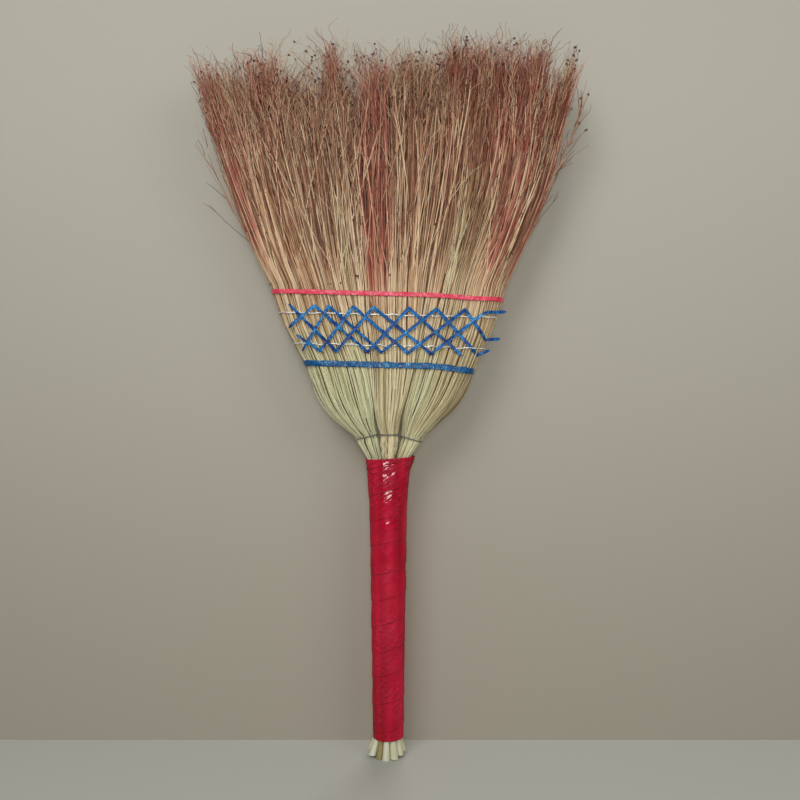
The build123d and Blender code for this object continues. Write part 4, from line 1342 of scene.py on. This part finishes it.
# %% Two threads round the fan
for label, height, seed_number in (("lower", 452.8, 2.0), ("upper", 486.6, 5.0)):
    ring = fan_ring(height, THREAD_ROOM)[:3]
    thread = thread_round(
        f"{label}_silver_thread", ring, radius=0.62, waves=0.9, seed_number=seed_number)
    settle(thread, silver_material, "clear_thread", f"{label}_thread")


# %% A tie of two turns round each neck
def tie_ring(side, tilt, height, room=TIE_ROOM):
    """A ring round one bunch that tilts by some degrees."""
    centre, half_width, half_depth = (float(v) for v in bunch_size(side, float(height)))
    corner = ROUND_WIDTH * half_width
    ring = rounded_walk(half_width + room, half_depth + room, corner, corner)[0]
    normal = ring_normals(ring)
    level = height - ring[:, 0] * math.tan(math.radians(tilt))
    centre, width_here, depth_here = bunch_size(side, level)
    x = ring[:, 0] * ((width_here + room) / (half_width + room)) + centre
    y = ring[:, 1] * ((depth_here + room) / (half_depth + room))
    return np.stack((x, y), axis=-1), level, normal


for label, tilt in (("left", -12), ("middle", 0), ("right", 15)):
    side = SIDES[label]
    rounds = [thread_round(f"{label}_tie", tie_ring(side, tilt, TIE_HEIGHTS[side] + up),
                           radius=0.38, waves=0.12, seed_number=side + up) for up in (-0.4, 0.4)]
    settle(joined_as(f"{label}_tie", rounds), twine_material, "tie_thread", f"{label}_neck_tie")

# %% [markdown]
# ## Stalk ends
# At the butt the cut ends of the stalks show: round, ribbed, with a rind round a pale pith.
# One stalk is modelled from a cylinder: its lower face is inset three times for rind and pith,
# and rings are cut into its side. Every stalk of the CAD model then gets a copy of it, bent
# along its own way through the handle, with every second edge drawn in a little for the ribs.

# %% Choosing and cutting edges
def select_where(piece, kind, rule):
    """Goes into edit mode with only the faces or edges selected that a rule names."""
    bpy.ops.object.mode_set(mode="EDIT")
    bpy.ops.mesh.select_mode(type=kind)
    bpy.ops.mesh.select_all(action="DESELECT")
    bpy.ops.object.mode_set(mode="OBJECT")
    for part in piece.data.polygons if kind == "FACE" else piece.data.edges:
        part.select = rule(part)
    bpy.ops.object.mode_set(mode="EDIT")


def column(name, corners):
    """A cylinder one unit thick and one unit long, standing on its foot."""
    piece = start_from(bpy.ops.mesh.primitive_cylinder_add, name, vertices=corners, radius=1,
                       depth=1, location=(0, 0, 0.5))
    bpy.ops.object.transform_apply(location=True)
    return piece


def cut_rings(piece, count):
    """Cuts rings round a column by dividing its upright edges."""
    height_of = lambda number: piece.data.vertices[number].co.z
    select_where(piece, "EDGE", lambda edge: abs(height_of(edge.vertices[0])
                                                 - height_of(edge.vertices[1])) > 0.5)
    bpy.ops.mesh.subdivide(number_cuts=count)
    bpy.ops.object.mode_set(mode="OBJECT")


# %% One stalk
RIBS = 22
stalk = column("stalk", RIBS)
select_where(stalk, "FACE", lambda face: face.normal.z < -0.9)
for thickness, height in ((0.14, 0.0), (0.08, -0.012), (0.4, 0.004)):
    bpy.ops.mesh.inset(thickness=thickness, depth=height)
cut_rings(stalk, 40)
stalk_points = points_of(stalk)
print("one stalk has", len(stalk.data.polygons), "faces")

# %% Every stalk: angle in degrees, then distance from the axis, radius, cut height and flare in mm
STALKS = [
    (-97.0, 13.49, 3.41, 0.0, 3.8), (-64.3, 13.02, 3.88, 0.8, 3.8), (-34.4, 13.97, 2.93, 3.2, 3.8),
    (-6.1, 13.32, 3.58, 5.6, 3.8), (23.4, 13.77, 3.13, 3.9, 3.8), (55.2, 12.88, 4.02, 2.1, 3.8),
    (86.2, 13.90, 3.00, 4.2, 3.8), (114.0, 13.49, 3.41, 1.4, 3.8), (146.4, 13.09, 3.81, 5.3, 3.8),
    (176.7, 13.83, 3.07, 6.3, 7.0), (206.3, 13.22, 3.68, 2.8, 7.0), (235.4, 13.94, 2.96, 0.7, 3.8),
    (-97.0, 5.84, 2.82, 0.7, 1.6), (-41.7, 6.12, 2.54, 2.5, 1.6), (18.2, 5.56, 3.10, 4.2, 1.6),
    (80.5, 5.98, 2.68, 1.4, 1.6), (140.5, 5.70, 2.96, 3.5, 1.6), (203.0, 5.84, 2.82, 2.1, 1.6),
    (0.0, 0.0, 2.25, 0.0, 0.0),
]
STALK_TOP, MOUTH, BROWN_STALK, MIDDLE_REACH = 303.8, 22, 11, 5.63
print(len(STALKS), "stalks, at most", 2 * max(row[2] for row in STALKS), "mm thick")


# %% A stalk in its place
def placed_stalk(number, angle, distance, radius, trim, flare, rng):
    copy = copy_of(stalk, f"stalk_{number}")
    x, y, z = stalk_points.T
    height = np.where(z > 0, trim + z**1.6 * (STALK_TOP - trim), trim + z * 30)
    grip = np.interp(height, BORE_HEIGHTS + [NECK_HEIGHT], BORE_RADII + [19.9])
    taper = (grip - 1.3) / 16.9
    opening = np.clip((MOUTH - height) / (MOUTH - trim), 0, 1)
    reach = distance * taper + flare * opening
    corner, middling = np.arctan2(y, x), np.hypot(x, y)
    rib = 1 - 0.05 * (np.round(corner / TURN * RIBS) % 2) * (middling > 0.95)
    flat = rng.uniform(0.02, 0.12)
    oval = 1 - flat * opening * np.cos(2 * (corner - rng.uniform(0, np.pi))) ** 2
    thick = radius * taper * rib * oval * (0.985 + 0.42 * opening * (flare > 3))
    lean = rng.uniform(-0.18, 0.18) * (x * radius) * (z < 0.02)
    way = math.radians(angle)
    move_points(copy, x * thick + reach * math.cos(way), y * thick + reach * math.sin(way),
                np.maximum(height + lean + rng.uniform(0, 0.1), 0))
    age = 1.0 if number == BROWN_STALK else rng.uniform(0, 0.55)
    shade = rng.uniform(0, 1)
    marks = (0 * x + age, middling < 0.8, 0 * x + shade, 0 * x + 1)
    mark_points(copy.data, np.stack(marks, axis=-1))
    return copy


# %% [markdown]
# A cut stalk is greyish green when fresh and brown when old, which its first mark says, and
# its second mark tells pith from rind. Fibres run up the rind, and the pith has small cells.

# %% Stalk finish and all stalks
rind = Finish("cut_stalk", Roughness=0.5)
marks = rind.node("Attribute", {"attribute_name": "marks"})
age = rind.node("SeparateColor", {}, {0: marks.output("Color")})
rind_place = rind.place()
rind_fibre = rind.clouds(rind.scaled(rind_place, (1.0, 1.0, 0.06)), 1500.0, 3.0)
rind_colour = rind.ramp(age * 0.7 + rind_fibre * 0.5, (0.2, paint(207, 208, 184)),
                        (0.65, paint(186, 180, 142)), (1.0, paint(132, 116, 58)))
pith_colour = rind.ramp(rind.clouds(rind_place, 1800.0, 2.0),
                        (0.35, paint(184, 158, 112)), (0.65, paint(216, 202, 168)))
rind_material = rind.wear(
    Base_Color=rind.blend(age.output("Green"), rind_colour, pith_colour),
    Roughness=rind_fibre * 0.3 + 0.35,
    Normal=rind.bump(rind_fibre, 0.5, 0.0003),
)

rng = np.random.default_rng(5)
groups = {label: [] for label in SIDES}
for number, (angle, distance, *sizes) in enumerate(STALKS):
    across = distance * math.cos(math.radians(angle))
    label = "left" if across < -MIDDLE_REACH else "right" if across > MIDDLE_REACH else "middle"
    groups[label].append(placed_stalk(number, angle, distance, *sizes, rng))
for label, copies in groups.items():
    stalks = joined_as(f"{label}_ribbed_stalks", copies)
    settle(stalks, rind_material, "stalk", f"{label}_stalks")
bpy.data.objects.remove(stalk)

# %% [markdown]
# ## Straw packed inside
# Between the outer straws one looks into the bunch, where more straw lies in shadow. A dark
# ribbed body stands for it, a few millimetres below the surface; its dark colour is painted
# shade. It thins out to nothing in the lower half of the fan, where the inner straws take over.

# %% Finish of the straw in shadow, whose dark colour is painted shade
deep = Finish("painted_shade_straw", Roughness=0.85)
deep_place = deep.place()
deep_fibre = deep.clouds(deep.scaled(deep_place, (1.0, 1.0, 0.04)), 900.0, 3.0)
# Painted shade: dark browns for the straw deep in the bunch, mixed towards olive lower down.
painted_shade_colour = deep.ramp(deep_fibre, (0.3, paint(84, 46, 26)), (0.7, paint(144, 94, 56)))
deep_height = deep.node("SeparateXYZ", {}, {0: deep_place}).output("Z")
greener = deep.mapped(deep_height, 0.4, 0.5, 0.8, 0.0, "LINEAR")
painted_shade_material = deep.wear(
    Base_Color=deep.blend(greener, painted_shade_colour, paint(84, 78, 50)),
    Normal=deep.bump(deep_fibre, 0.6, 0.0008))
print("shaded straw has", len(deep.tree.nodes), "nodes")

# %% Packed body of one bunch
CORE_FOOT, CORE_TOP, CORE_RIBS = 308, 640, 48


def packed_body(label, side):
    body = column(f"{label}_packed_straw", 2 * CORE_RIBS)
    cut_rings(body, 60)
    x, y, z = points_of(body).T
    share = (np.arctan2(x, -y) / TURN) % 1
    height = CORE_FOOT + z * (CORE_TOP - CORE_FOOT)
    low = np.minimum(height, FAN_TOP)
    centre, half_width, half_depth = bunch_size(side, low)
    place = on_outline(side, share, low)
    inset = 2.6 + 0.5 * np.cos(share * CORE_RIBS * TURN)
    x = centre + place[:, 0] * (1 - inset / half_width)
    y = place[:, 1] * (1 - inset / half_depth)
    above = np.clip((height - FAN_TOP) / (CORE_TOP - FAN_TOP), 0, 1)
    fan_x, fan_y = fan_place(x / outer[-1], y / depth[-1], height)
    free = height > FAN_TOP
    x, y = np.where(free, fan_x, x), np.where(free, fan_y * (1 - 0.93 * above), y)
    move_points(body, x, y, height)
    bpy.ops.object.shade_smooth()
    settle(outward(body), painted_shade_material, "straw", f"{label}_bunch", f"{label}_bristles")


for label, side in SIDES.items():
    packed_body(label, side)
print("packed straw fills the three bunches")

# %% [markdown]
# ## Wire bindings
# The three wires under the film keep their CAD shape. They only get a finish of drawn steel,
# with fine lines and a little dullness.

# %% Wire finish
steel = Finish("binding_wire", Metallic=1.0)
drawn = steel.clouds(steel.place(), 1400.0, 2.0)
steel_material = steel.wear(
    Base_Color=steel.ramp(drawn, (0.3, paint(120, 120, 122)), (0.7, paint(172, 172, 174))),
    Roughness=drawn * 0.3 + 0.25, Normal=steel.bump(drawn, 0.3, 0.0001))
for node in ("foot_binding", "grip_binding", "collar_binding"):
    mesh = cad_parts[node].data
    mesh.materials.clear()
    mesh.materials.append(steel_material)
print("three bindings are steel")
